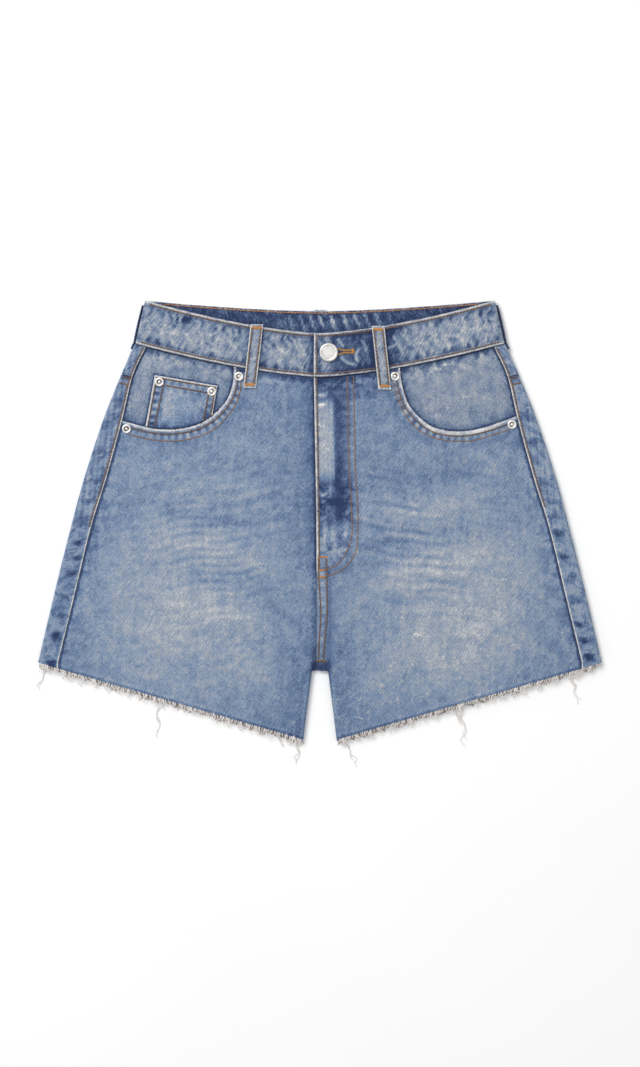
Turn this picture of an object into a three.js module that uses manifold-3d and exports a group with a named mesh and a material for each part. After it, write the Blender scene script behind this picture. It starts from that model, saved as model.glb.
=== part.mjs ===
// Denim shorts with frayed raw hems, lying flat on their back with the front up.
// Millimetres. X runs across, Y up the garment, Z up from the table. The origin is on the table, under the
// middle of the outline. Right and left are the wearer's: the right side has the smaller X.
// The garment is made as it is sewn: each cut piece is a wall of cloth on one of two layers, the back layer
// on the table and the front layer above it, which meet in a round fold down each side.

import * as THREE from "three";
import { mergeVertices } from "three/addons/utils/BufferGeometryUtils.js";
import Module from "manifold-3d";

const wasm = await Module();
wasm.setup();

const { lerp, smoothstep, clamp, degToRad } = THREE.MathUtils;

// Thicknesses, and how the layers lie
const CLOTH = 1.0; // one ply of denim
const BAND = 1.8; // the waistband, two plies
const LOOP = 1.3; // a belt loop, a folded strip
const SEAM = 0.3; // the space between two pieces at a seam
const LIE = 5.5; // from the table to the face of the front layer
const LEG_MIDDLE = LIE / 2; // the height of the seam down the inner leg's fold
const LEG_RADIUS = 2.6; // of that fold, across

// How high the waistband's front lies, and how far from the middle each height holds
const BAND_LIE = { height: 6.1, from: 72, to: 118 };
const SIDE_FOLD_LIE = { height: 7.0, from: 150 }; // over the side loops
const FLAP_LIE = { height: 7.6, to: 26 }; // the buttoned end, on top of the other end
const UNDERLAP_LIE = { height: 5.5, to: 12, from: 48 }; // the other end, under the flap

// The waistband's four edges: height at the centre and at the side fold, and half the width at the fold
const EDGES = {
  frontTop: { centre: 185.6, side: 215.8, half: 161.9 },
  frontBottom: { centre: 144.8, side: 175.6, half: 170.9 },
  backTop: { centre: 206, side: 215.8, half: 161.9 },
  backBottom: { centre: 165, side: 175.6, half: 170.9 },
};
const EDGE_BEND = 1.5; // the edges' curve: 1 is straight and 2 a parabola
const FLAP_END_X = -6; // the buttoned end's edge, on the centre front
const UNDERLAP_END_X = 23;

// Half widths down the side: to the outer fold, and to the side seam, which lies on the front
const SIDE = [
  { y: 175.6, fold: 171.5, seam: 159.2 },
  { y: 146.8, fold: 184.1, seam: 172.6 },
  { y: 105, fold: 200.8, seam: 182.8 },
  { y: 50, fold: 218.7, seam: 197.8 },
  { y: 6, fold: 230.6, seam: 211.5 },
  { y: -55, fold: 245.8, seam: 226.3 },
  { y: -119.6, fold: 261, seam: 242 },
];
const HEM_SIDE_Y = -119.6;
const BAND_SIDE_Y = EDGES.frontBottom.side;

// A level is a line across one side of the garment, 0 at the waistband and 1 at the hem. These tables give
// where each level starts, on the centre line or the inner leg, on the front layer and on the back.
const YOKE_LEVEL = 0.094;
const CROTCH_LEVEL = 0.77;
const LEG_LEVEL = 0.79;
const FRONT_START = [
  { level: 0, x: 0, y: EDGES.frontBottom.centre - SEAM },
  { level: 0.7, x: 0, y: -108 },
  { level: CROTCH_LEVEL, x: 0, y: -127 },
  { level: LEG_LEVEL, x: 7.4, y: -127.6 },
  { level: 1, x: 15.5, y: -190.8 },
];
const BACK_START = [
  { level: 0, x: 0, y: EDGES.backBottom.centre - SEAM },
  { level: YOKE_LEVEL, x: 0, y: 103 },
  { level: 0.7, x: 0, y: -108 },
  { level: CROTCH_LEVEL, x: 0, y: -127 },
  { level: LEG_LEVEL, x: 7.4, y: -127.6 },
  { level: 1, x: 15.5, y: -192.3 },
];
const STRAIGHT_FROM_LEVEL = 0.35; // above it, a level curves as the waistband does

// The centre front's edge lies to the right of the middle, because the left front laps over
const CENTRE_FRONT = [
  { y: 145, x: -6 },
  { y: 0, x: -3.6 },
  { y: -127, x: -3.6 },
];
const LAP_REACH = 40; // how far from the centre the levels are pulled over
const LAP = { sink: 0.9, rise: 0.25, breadth: 13, fades: -60 }; // the right front sinks, the left rises

// The first columns of a front: spacing beside the centre seam, and turns round the inner leg's fold
const INNER_COLUMNS = [
  { centre: 0, turn: 0 },
  { centre: 2.2, turn: 30 },
  { centre: 4.6, turn: 60 },
  { centre: 7.4, turn: 90 },
];

// Where the two legs part, the crotch lies in a trench between their folds
const TRENCH = { middle: 0.4, depth: 2.2, halfWidth: 5.4, wall: 2.4, top: -103, bottom: -111 };

// Creases of the front layer: middle, slope in degrees, length, breadth of half the ridge, and rise
const CREASES = [
  { x: -95, y: 45, turn: -7, length: 120, breadth: 8, rise: 0.4 },
  { x: -100, y: 14, turn: -9, length: 130, breadth: 8, rise: -0.45 },
  { x: -105, y: -12, turn: -11, length: 140, breadth: 9, rise: 0.42 },
  { x: -96, y: -42, turn: -13, length: 130, breadth: 9, rise: -0.4 },
  { x: -100, y: -72, turn: -14, length: 120, breadth: 10, rise: 0.38 },
  { x: -194, y: 60, turn: 73, length: 80, breadth: 7, rise: 0.4 },
  { x: -206, y: -6, turn: 72, length: 80, breadth: 7, rise: -0.3 },
  { x: -60, y: -130, turn: -50, length: 90, breadth: 10, rise: 0.35 },
  { x: 98, y: 52, turn: 5, length: 125, breadth: 8, rise: -0.4 },
  { x: 104, y: 24, turn: 8, length: 140, breadth: 8, rise: 0.42 },
  { x: 96, y: -4, turn: 10, length: 130, breadth: 9, rise: -0.42 },
  { x: 102, y: -30, turn: 12, length: 140, breadth: 9, rise: 0.42 },
  { x: 100, y: -60, turn: 14, length: 120, breadth: 10, rise: -0.36 },
  { x: 200, y: 40, turn: -72, length: 90, breadth: 7, rise: 0.4 },
  { x: 52, y: -134, turn: 52, length: 90, breadth: 10, rise: 0.35 },
  { x: 17, y: 62, turn: 88, length: 110, breadth: 6, rise: 0.35 },
];

// The front pockets' mouths, from the waistband round to the side seam
const POCKET_MOUTH = {
  right: [
    { x: -79.6, y: 156 },
    { x: -80.9, y: 138 },
    { x: -87.6, y: 121.4 },
    { x: -104, y: 105.6 },
    { x: -125, y: 97.6 },
    { x: -152, y: 96.8 },
    { x: -184, y: 104.6 },
  ],
  left: [
    { x: 73.8, y: 156 },
    { x: 76.6, y: 135 },
    { x: 84.8, y: 115.4 },
    { x: 104, y: 98.8 },
    { x: 128, y: 94.4 },
    { x: 152, y: 98.2 },
    { x: 184, y: 109.4 },
  ],
};
const POCKET_CORNER = { x: 166, y: 172 }; // where side seam and waistband meet, to scale the mouths from
const FACING_SPREAD = 1.14; // the facing reaches this much further than the mouth
const COIN_SHRINK = 0.994; // the coin pocket stops this much short of the mouth's edge
const COIN_POCKET = [
  { x: -152.9, y: 146.7 },
  { x: -94.7, y: 136.6 },
  { x: -101, y: 100 },
  { x: -107, y: 90 },
  { x: -163, y: 90 },
];

// Back pockets, on the table side: a pentagon about its own middle
const BACK_POCKET = { x: 112, y: 38, turn: 9, halfTop: 62, halfBottom: 54, up: 68, down: 52, point: 18 };
const POCKET_EASE = { x: 15, y: 17, spread: 1.3 }; // how far past the pocket the cloth over it stays up
const LOOP_EASE = { near: 6, far: 28, below: 8, slope: 18 }; // the same round the centre loop
const SIDE_LOOP_EASE = { near: 6, far: 26, below: 4, slope: 12 }; // and round a side loop

// Belt loops on the front and back: ends of the middle line
const LOOP_WIDTH = 12;
const FRONT_LOOPS = {
  right: { top: { x: -58.3, y: 193.4 }, bottom: { x: -65, y: 134.4 } },
  left: { top: { x: 53.7, y: 191.9 }, bottom: { x: 59.9, y: 133 } },
};
const BACK_LOOP = { top: 207.5, bottom: 150 };
const SIDE_LOOP = { top: 211.5, bottom: 171, standOff: 0.6, under: 8.5, height: 4.4, bend: 2.4 };
const BAND_TAPER = 0.22; // how much the waistband's fold leans in for each unit of height
const LOOP_BOW = 0.5; // how far a loop stands away from the band halfway along
const LOOP_STIFFNESS = 3; // how far from an edge it starts to bend

// Metal
const BUTTON = { x: 8, y: 167.4, radius: 8.6, height: 2.4, shank: 2.3 };
const BUTTONHOLE = { radius: 2.9, slitEnd: 30.5, slitWidth: 1.4 };
const RIVET_RADIUS = 4.2;
const RIVETS = [
  { x: -74.9, y: 145.4 },
  { x: -179.0, y: 96.8 },
  { x: -148.6, y: 140.2 },
  { x: -100.2, y: 131.4 },
  { x: 69.4, y: 145.4 },
  { x: 177.6, y: 100.8 },
];

// Frayed edge: a narrow strip of bared threads along each hem, with strands on it
const FRAY = { strip: 1.3, thick: 0.8, inset: 3.2, spacing: 5.6, shortest: 2.4, longest: 6.4, radius: 0.4 };
const LONG_STRANDS = {
  right: [
    { x: -254, length: 24, lean: -7, layer: "front" },
    { x: -149, length: 37, lean: -3, layer: "front" },
    { x: -39, length: 12, lean: 4, layer: "back" },
    { x: -20, length: 24, lean: -2, layer: "front" },
  ],
  left: [
    { x: 21, length: 26.4, lean: 12, layer: "front" },
    { x: 124, length: 17, lean: 5, layer: "back" },
    { x: 127, length: 38, lean: 8, layer: "front" },
    { x: 232, length: 30, lean: 8, layer: "front" },
  ],
};

const COLOURS = { denim: 0x8798b4, facing: 0x8fa0ba, band: 0x7f90ab, metal: 0xd6d3cf, thread: 0xd8d4ce };
const FACETS = 16; // round the button and the rivets
const SIDES = { right: -1, left: 1 };

// Tables and curves

// One column of a table at y, on a smooth curve through the rows
function columnAt(table, column, y) {
  const last = table.length - 1;
  let i = 0;
  while (i < last - 1 && y < table[i + 1].y) {
    i += 1;
  }
  const [a, b] = [table[i], table[i + 1]];
  const slope = (p, q) => (q[column] - p[column]) / (q.y - p.y);
  const span = b.y - a.y;
  const startSlope = slope(table[Math.max(0, i - 1)], b) * span;
  const endSlope = slope(a, table[Math.min(last, i + 2)]) * span;
  const t = clamp((y - a.y) / span, 0, 1);
  const rise = b[column] - a[column];
  return a[column] + t * startSlope + t * t * (3 * rise - 2 * startSlope - endSlope)
    + t * t * t * (startSlope + endSlope - 2 * rise);
}

// Where a level starts, straight between the rows of its table
function startAt(table, level) {
  let i = 0;
  while (i < table.length - 2 && level > table[i + 1].level) {
    i += 1;
  }
  const [a, b] = [table[i], table[i + 1]];
  const t = clamp((level - a.level) / (b.level - a.level), 0, 1);
  return { x: lerp(a.x, b.x, t), y: lerp(a.y, b.y, t) };
}

function edgeY(edge, x) {
  return edge.centre + (edge.side - edge.centre) * Math.abs(x / edge.half) ** EDGE_BEND;
}

// The outer fold at a level
function foldAt(level) {
  const y = lerp(BAND_SIDE_Y - SEAM, HEM_SIDE_Y, level);
  return { x: columnAt(SIDE, "fold", y), y };
}

// The height on the garment of a point of a level, at half width x
function levelY(starts, level, x) {
  const [start, fold] = [startAt(starts, level), foldAt(level)];
  const bend = lerp(EDGE_BEND, 1, Math.min(1, level / STRAIGHT_FROM_LEVEL));
  const t = clamp((x - start.x) / (fold.x - start.x), 0, 1);
  return lerp(start.y, fold.y, t ** bend);
}

// The side seam at a level
function seamAt(level) {
  let x = foldAt(level).x - 20;
  for (let pass = 0; pass < 6; pass += 1) {
    x = columnAt(SIDE, "seam", levelY(FRONT_START, level, x));
  }
  return x;
}

function lapShift(level, half, y) {
  if (level > CROTCH_LEVEL) return 0;
  return columnAt(CENTRE_FRONT, "x", y) * Math.max(0, 1 - half / LAP_REACH);
}

// Heights of the two layers above the table

function creaseRise(crease, x, y) {
  const angle = degToRad(crease.turn);
  const along = (x - crease.x) * Math.cos(angle) + (y - crease.y) * Math.sin(angle);
  const across = (y - crease.y) * Math.cos(angle) - (x - crease.x) * Math.sin(angle);
  const ends = 1 - smoothstep(Math.abs(along), 0.25 * crease.length, 0.5 * crease.length);
  return crease.rise * ends * Math.exp(-((across / crease.breadth) ** 2));
}

// The face of the front layer
function frontHeight(x, y, side) {
  const creases = CREASES.reduce((sum, crease) => sum + creaseRise(crease, x, y), 0);
  const edge = columnAt(CENTRE_FRONT, "x", y);
  const besideLap = Math.exp(-(((x - edge) / LAP.breadth) ** 2)) * smoothstep(y, TRENCH.bottom, LAP.fades);
  const lap = besideLap * (side < 0 ? -LAP.sink : LAP.rise);
  const across = Math.abs(x - TRENCH.middle);
  const inTrench = 1 - smoothstep(across, TRENCH.halfWidth, TRENCH.halfWidth + TRENCH.wall);
  const trench = TRENCH.depth * inTrench * (1 - smoothstep(y, TRENCH.bottom, TRENCH.top));
  return LIE + creases * (1 - inTrench) + lap - trench;
}

// From 0 to 1 as y comes up to the lower end of something
function above(y, lowerEnd, ease) {
  return smoothstep(y, lowerEnd - ease.below - ease.slope, lowerEnd - ease.below);
}

// The underside of the back layer, which lies on the table and over the pockets and loops sewn on it
function backHeight(x, y) {
  const angle = degToRad(BACK_POCKET.turn);
  const [dx, dy] = [Math.abs(x) - BACK_POCKET.x, y - BACK_POCKET.y];
  const u = (dx * Math.cos(angle) + dy * Math.sin(angle)) / (BACK_POCKET.halfTop + POCKET_EASE.x);
  const v = (dy * Math.cos(angle) - dx * Math.sin(angle)) / (BACK_POCKET.up + POCKET_EASE.y);
  const overPocket = 1 - smoothstep((u ** 4 + v ** 4) ** 0.25, 1, POCKET_EASE.spread);
  const overLoop = above(y, BACK_LOOP.bottom, LOOP_EASE)
    * (1 - smoothstep(Math.abs(x), LOOP_WIDTH / 2 + LOOP_EASE.near, LOOP_WIDTH / 2 + LOOP_EASE.far));
  const lean = Math.max(0, y - BAND_SIDE_Y) * BAND_TAPER;
  const loopEdge = columnAt(SIDE, "fold", Math.min(y, BAND_SIDE_Y)) - lean - SIDE_LOOP.under;
  const overSideLoop = above(y, SIDE_LOOP.bottom, SIDE_LOOP_EASE)
    * smoothstep(Math.abs(x), loopEdge - SIDE_LOOP_EASE.far, loopEdge - SIDE_LOOP_EASE.near);
  return Math.max((CLOTH + SEAM) * overPocket, (LOOP + SEAM) * Math.max(overLoop, overSideLoop));
}

// The face of the waistband on the front
function bandHeight(x, flap) {
  const nearFold = smoothstep(Math.abs(x), BAND_LIE.to, SIDE_FOLD_LIE.from);
  const rest = lerp(BAND_LIE.height, SIDE_FOLD_LIE.height, nearFold);
  const middle = flap ? FLAP_LIE : UNDERLAP_LIE;
  const from = flap ? BAND_LIE.from : UNDERLAP_LIE.from;
  return lerp(middle.height, rest, smoothstep(Math.abs(x), middle.to, from));
}

// Solids

function signedVolume(vertices, triangles) {
  const [a, b, c] = [new THREE.Vector3(), new THREE.Vector3(), new THREE.Vector3()];
  let volume = 0;
  for (let i = 0; i < triangles.length; i += 3) {
    a.copy(vertices[triangles[i]]);
    b.copy(vertices[triangles[i + 1]]);
    c.copy(vertices[triangles[i + 2]]);
    volume += a.dot(b.cross(c)) / 6;
  }
  return volume;
}

// A geometry from points and triangles, turned to face out
function geometryOf(vertices, triangles) {
  const indices = signedVolume(vertices, triangles) < 0 ? triangles.slice().reverse() : triangles;
  const geometry = new THREE.BufferGeometry().setFromPoints(vertices).setIndex(indices);
  geometry.computeVertexNormals();
  return geometry;
}

// The direction of a row of points at one of them; at an end it follows the curve of the first three
function tangent(at, i, count) {
  if (count === 2) return at(1).clone().sub(at(0));
  if (i > 0 && i < count - 1) return at(i + 1).clone().sub(at(i - 1));
  const inward = i === 0 ? 1 : -1;
  const [end, next, third] = [at(i), at(i + inward), at(i + 2 * inward)];
  const along = end.clone().multiplyScalar(-3).addScaledVector(next, 4).sub(third);
  return along.multiplyScalar(inward);
}

// A closed wall: outer points in rows, and the same points moved in by the thickness
function wall(outer, thickness, turn) {
  const [rows, columns] = [outer.length, outer[0].length];
  const inner = outer.map((row, i) => row.map((point, j) => {
    const down = tangent((k) => outer[k][j], i, rows);
    const along = tangent((k) => row[k], j, columns);
    const normal = down.cross(along).normalize();
    return point.clone().addScaledVector(normal, -turn * thickness);
  }));
  const vertices = [...outer.flat(), ...inner.flat()];
  const skin = rows * columns;
  const index = (i, j, layer) => layer * skin + i * columns + j;
  const triangles = [];
  const quad = (a, b, c, d) => triangles.push(a, b, c, a, c, d);
  for (let i = 0; i < rows - 1; i += 1) {
    for (let j = 0; j < columns - 1; j += 1) {
      quad(index(i, j, 0), index(i, j + 1, 0), index(i + 1, j + 1, 0), index(i + 1, j, 0));
      quad(index(i, j, 1), index(i + 1, j, 1), index(i + 1, j + 1, 1), index(i, j + 1, 1));
    }
    const end = columns - 1;
    quad(index(i, 0, 0), index(i + 1, 0, 0), index(i + 1, 0, 1), index(i, 0, 1));
    quad(index(i, end, 0), index(i, end, 1), index(i + 1, end, 1), index(i + 1, end, 0));
  }
  for (let j = 0; j < columns - 1; j += 1) {
    const end = rows - 1;
    quad(index(0, j, 0), index(0, j, 1), index(0, j + 1, 1), index(0, j + 1, 0));
    quad(index(end, j, 0), index(end, j + 1, 0), index(end, j + 1, 1), index(end, j, 1));
  }
  return geometryOf(vertices, triangles);
}

function toManifold(geometry) {
  const bare = geometry.index ? geometry.toNonIndexed() : geometry.clone();
  bare.deleteAttribute("normal");
  bare.deleteAttribute("uv");
  const merged = mergeVertices(bare, 1e-4);
  const vertProperties = merged.attributes.position.array;
  const triVerts = new Uint32Array(merged.index.array);
  return new wasm.Manifold(new wasm.Mesh({ numProp: 3, vertProperties, triVerts }));
}

function fromManifold(manifold) {
  const mesh = manifold.getMesh();
  const geometry = new THREE.BufferGeometry();
  geometry.setAttribute("position", new THREE.BufferAttribute(mesh.vertProperties, 3));
  geometry.setIndex(new THREE.BufferAttribute(mesh.triVerts, 1));
  geometry.computeVertexNormals();
  return geometry;
}

// An upright prism on an outline of the plan
function prism(outline, low = -5, high = 30) {
  const shape = new THREE.Shape(outline.map((p) => new THREE.Vector2(p.x, p.y)));
  const geometry = new THREE.ExtrudeGeometry(shape, { depth: high - low, bevelEnabled: false });
  return toManifold(geometry.translate(0, 0, low));
}

function steps(from, to, count) {
  return Array.from({ length: count + 1 }, (_, i) => lerp(from, to, i / count));
}

// The body's walls

const LEVELS = [...steps(0, 0.68, 14), 0.705, 0.735, CROTCH_LEVEL, ...steps(LEG_LEVEL, 1, 6)];

// The columns that a leg's inner fold or the centre seam takes: half width and share of the fold's drop
function innerColumn(level, column) {
  const leg = level >= LEG_LEVEL;
  const turn = degToRad(column.turn);
  return {
    offset: leg ? LEG_RADIUS * (1 - Math.cos(turn)) : column.centre + SEAM / 2,
    drop: leg ? 1 - Math.sin(turn) : 0,
  };
}

// A sheet of the front layer from the centre seam to the side seam, raised or lowered from its face
function frontSheet(side, lift = 0, levels = LEVELS) {
  const across = 11;
  const outer = levels.map((level) => {
    const start = startAt(FRONT_START, level);
    const inner = INNER_COLUMNS.map((column) => innerColumn(level, column));
    const from = inner[inner.length - 1].offset + start.x;
    const to = seamAt(level) - SEAM / 2;
    const halves = [...inner.map((c) => start.x + c.offset), ...steps(from, to, across).slice(1)];
    return halves.map((half, j) => {
      const x = side * half + lapShift(level, half, levelY(FRONT_START, level, half));
      const y = levelY(FRONT_START, level, Math.abs(x));
      const drop = j < inner.length ? inner[j].drop : 0;
      const top = frontHeight(x, y, side);
      return new THREE.Vector3(x, y, lerp(top, LEG_MIDDLE + SEAM / 2, drop) + lift);
    });
  });
  return wall(outer, CLOTH, side);
}

// A sheet of the back: from the side seam on the front, round the outer fold and across the table
function backSheet(side, levels, trimTop = 0) {
  const [strip, turns, across] = [3, 6, 11];
  const outer = levels.map((level, row) => {
    const [fold, start] = [foldAt(level), startAt(BACK_START, level)];
    const trim = row === 0 ? trimTop : 0;
    const top = frontHeight(side * fold.x, fold.y, side);
    const under = backHeight(fold.x, fold.y);
    const radius = (top - under) / 2;
    const turnX = fold.x - radius;
    const onFront = steps(seamAt(level) + SEAM / 2, turnX, strip).map((half) => {
      const y = levelY(FRONT_START, level, half) - trim;
      return new THREE.Vector3(side * half, y, frontHeight(side * half, y, side));
    });
    const round = steps(0, Math.PI, turns).slice(1, -1).map((angle) => {
      const z = under + radius * (1 + Math.cos(angle));
      return new THREE.Vector3(side * (turnX + radius * Math.sin(angle)), fold.y - trim, z);
    });
    const inner = INNER_COLUMNS.map((column) => innerColumn(level, column)).reverse();
    const to = start.x + inner[0].offset;
    const halves = [...steps(turnX, to, across), ...inner.slice(1).map((c) => start.x + c.offset)];
    const onTable = halves.map((half, j) => {
      const y = levelY(BACK_START, level, half) - trim;
      const drop = j > across ? inner[j - across].drop : 0;
      return new THREE.Vector3(side * half, y, lerp(backHeight(half, y), LEG_MIDDLE - SEAM / 2, drop));
    });
    return [...onFront, ...round, ...onTable];
  });
  return wall(outer, CLOTH, side);
}

// The waistband, one strip from the underlap round the back to the flap
function waistband() {
  const rows = 4;
  const column = (x, front, flap) => steps(1, 0, rows).map((share) => {
    const [top, bottom] = front ? [EDGES.frontTop, EDGES.frontBottom] : [EDGES.backTop, EDGES.backBottom];
    const xHere = x * lerp(1, top.half / bottom.half, share);
    const y = lerp(edgeY(bottom, x), edgeY(top, x * top.half / bottom.half), share);
    return new THREE.Vector3(xHere, y, front ? bandHeight(xHere, flap) : backHeight(xHere, y));
  });
  const half = EDGES.frontBottom.half;
  const under = LOOP + SEAM;
  const radius = (SIDE_FOLD_LIE.height - under) / 2;
  const fold = (side, from, to) => steps(from, to, 6).slice(1, -1).map((angle) => {
    const x = side * (half - radius + radius * Math.sin(angle));
    const share = angle / Math.PI;
    const [front, back] = [column(x, true, false), column(x, false, false)];
    return front.map((point, i) => {
      const y = lerp(point.y, back[i].y, share);
      return new THREE.Vector3(point.x, y, under + radius * (1 + Math.cos(angle)));
    });
  });
  const flat = (from, to, count, front, flap) => steps(from, to, count).map((x) => column(x, front, flap));
  const columns = [
    ...flat(UNDERLAP_END_X, radius - half, 14, true, false),
    ...fold(-1, 0, Math.PI),
    ...flat(radius - half, -30, 8, false, false),
    ...flat(-20, 20, 4, false, false),
    ...flat(30, half - radius, 8, false, false),
    ...fold(1, Math.PI, 0),
    ...flat(half - radius, FLAP_END_X, 14, true, true),
  ];
  const outer = steps(0, rows, rows).map((i) => columns.map((points) => points[i]));
  const band = toManifold(wall(outer, BAND, -1));
  return fromManifold(band.subtract(buttonhole()));
}

// A keyhole through the flap alone: a round eye for the shank, and a slit
function buttonhole() {
  const { x, y } = BUTTON;
  const { radius, slitEnd, slitWidth } = BUTTONHOLE;
  const opening = Math.asin(slitWidth / 2 / radius);
  const outline = steps(opening, 2 * Math.PI - opening, FACETS)
    .map((angle) => ({ x: x + radius * Math.cos(angle), y: y + radius * Math.sin(angle) }));
  outline.push({ x: slitEnd, y: y - slitWidth / 2 }, { x: slitEnd, y: y + slitWidth / 2 });
  return prism(outline, UNDERLAP_LIE.height + SEAM / 2, FLAP_LIE.height + BUTTON.height);
}

// Pockets

function mouthCurve(name) {
  const knots = POCKET_MOUTH[name].map((p) => new THREE.Vector2(p.x, p.y));
  return new THREE.SplineCurve(knots).getPoints(18);
}

// The mouth's outline, scaled from the corner of side seam and waistband, and closed beyond it
function mouthPrism(name, scale) {
  const side = SIDES[name];
  const scaled = mouthCurve(name).map((p) => ({
    x: side * POCKET_CORNER.x + (p.x - side * POCKET_CORNER.x) * scale,
    y: POCKET_CORNER.y + (p.y - POCKET_CORNER.y) * scale,
  }));
  const last = scaled[scaled.length - 1];
  return prism([
    { x: scaled[0].x, y: 200 },
    ...scaled,
    { x: side * 215, y: last.y + 8 },
    { x: side * 215, y: 200 },
  ]);
}

const UPPER_LEVELS = steps(0, 0.36, 8);

function front(name) {
  return fromManifold(toManifold(frontSheet(SIDES[name])).subtract(mouthPrism(name, 1)));
}

function facing(name) {
  const sheet = toManifold(frontSheet(SIDES[name], -CLOTH - SEAM, UPPER_LEVELS));
  return fromManifold(sheet.intersect(mouthPrism(name, FACING_SPREAD)));
}

function coinPocket() {
  const sheet = toManifold(frontSheet(SIDES.right, 0, UPPER_LEVELS));
  return fromManifold(sheet.intersect(prism(COIN_POCKET)).intersect(mouthPrism("right", COIN_SHRINK)));
}

function backPocket(side) {
  const { halfTop, halfBottom, up, down, point } = BACK_POCKET;
  const shape = new THREE.Shape([
    new THREE.Vector2(-halfTop, up),
    new THREE.Vector2(-halfBottom, -down),
    new THREE.Vector2(0, -down - point),
    new THREE.Vector2(halfBottom, -down),
    new THREE.Vector2(halfTop, up),
  ]);
  const geometry = new THREE.ExtrudeGeometry(shape, { depth: CLOTH, bevelEnabled: false });
  return { geometry, position: [side * BACK_POCKET.x, BACK_POCKET.y, 0], turn: side * BACK_POCKET.turn };
}

// Belt loops

// What a front loop lies on at a point: the front, and from just below its edge the waistband
function underLoop(x, y, side) {
  const front = frontHeight(x, y, side);
  const onBand = y > edgeY(EDGES.frontBottom, x) - LOOP_STIFFNESS;
  return onBand ? Math.max(bandHeight(x, side > 0), front) : front;
}

function frontLoop(side, line) {
  const outer = steps(0, 1, 12).map((share) => {
    const x = lerp(line.top.x, line.bottom.x, share);
    const y = lerp(line.top.y, line.bottom.y, share);
    const bow = LOOP_BOW * Math.sin(Math.PI * share);
    const near = [-LOOP_STIFFNESS, 0, LOOP_STIFFNESS];
    const under = Math.max(...near.map((step) => underLoop(x, y + step, side)));
    return steps(-LOOP_WIDTH / 2, LOOP_WIDTH / 2, 3)
      .map((offset) => new THREE.Vector3(x + offset, y, under + bow + SEAM + LOOP));
  });
  return wall(outer, LOOP, 1);
}

function backLoop() {
  const shape = new THREE.Shape([
    new THREE.Vector2(-LOOP_WIDTH / 2, BACK_LOOP.bottom),
    new THREE.Vector2(LOOP_WIDTH / 2, BACK_LOOP.bottom),
    new THREE.Vector2(LOOP_WIDTH / 2, BACK_LOOP.top),
    new THREE.Vector2(-LOOP_WIDTH / 2, BACK_LOOP.top),
  ]);
  return new THREE.ExtrudeGeometry(shape, { depth: LOOP, bevelEnabled: false });
}

// A side loop stands against the waistband's fold and turns under it
function sideLoop(side) {
  const { top, bottom, standOff, under, height, bend } = SIDE_LOOP;
  const face = standOff + LOOP;
  const profile = [
    { out: face, z: height },
    { out: face, z: bend },
    ...[30, 60].map((turn) => ({
      out: face - bend * (1 - Math.cos(degToRad(turn))),
      z: bend * (1 - Math.sin(degToRad(turn))),
    })),
    { out: face - bend, z: 0 },
    { out: face - under, z: 0 },
  ];
  const outer = steps(top, bottom, 8).map((y) => {
    const share = (y - BAND_SIDE_Y) / (EDGES.frontTop.side - BAND_SIDE_Y);
    const fold = share > 0
      ? lerp(EDGES.frontBottom.half, EDGES.frontTop.half, share)
      : columnAt(SIDE, "fold", y);
    const bow = LOOP_BOW * Math.sin(Math.PI * (y - bottom) / (top - bottom));
    return profile.map((p) => new THREE.Vector3(side * (fold + p.out + bow), y, p.z));
  });
  return wall(outer, LOOP, side);
}

// Metal trims

function lathe(profile) {
  return new THREE.LatheGeometry(profile.map((p) => new THREE.Vector2(p.r, p.z)), FACETS);
}

// A shank button: the shank goes down through the buttonhole to the underlap
function button() {
  const seat = FLAP_LIE.height - UNDERLAP_LIE.height;
  const { radius, shank, height } = BUTTON;
  return lathe([
    { r: 0, z: 0 },
    { r: shank, z: 0 },
    { r: shank, z: seat },
    { r: radius - 1.2, z: seat },
    { r: radius, z: seat + 0.8 },
    { r: radius, z: seat + height - 0.8 },
    { r: radius - 0.9, z: seat + height },
    { r: radius - 2.0, z: seat + height },
    { r: radius - 2.4, z: seat + height - 0.3 },
    { r: 0, z: seat + height - 0.3 },
  ]);
}

function rivet() {
  const r = RIVET_RADIUS;
  return lathe([
    { r: 0, z: 0 },
    { r, z: 0 },
    { r, z: 0.5 },
    { r: r - 0.7, z: 1.0 },
    { r: 0.52 * r, z: 0.95 },
    { r: 0.42 * r, z: 0.6 },
    { r: 0.3 * r, z: 0.7 },
    { r: 0.2 * r, z: 1.3 },
    { r: 0, z: 1.5 },
  ]);
}

// Frayed hems

// A repeatable number from 0 to 1
function scatter(seed) {
  const value = Math.sin(seed * 127.1 + 311.7) * 43758.5453;
  return value - Math.floor(value);
}

// One strand: three sides, bent at each point of its path, thinner at its end
function strand(path, radius) {
  const rings = path.map((p, i) => [90, 210, 330].map((turn) => {
    const r = i === path.length - 1 ? 0.5 * radius : radius;
    return new THREE.Vector3(p.x + r * Math.cos(degToRad(turn)), p.y, p.z + r * Math.sin(degToRad(turn)));
  }));
  const vertices = rings.flat();
  const triangles = [0, 1, 2];
  for (let i = 0; i < rings.length - 1; i += 1) {
    for (let k = 0; k < 3; k += 1) {
      const [a, b] = [3 * i + k, 3 * i + (k + 1) % 3];
      triangles.push(a, a + 3, b, b, a + 3, b + 3);
    }
  }
  const end = vertices.length - 3;
  triangles.push(end, end + 2, end + 1);
  return toManifold(geometryOf(vertices, triangles));
}

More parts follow.
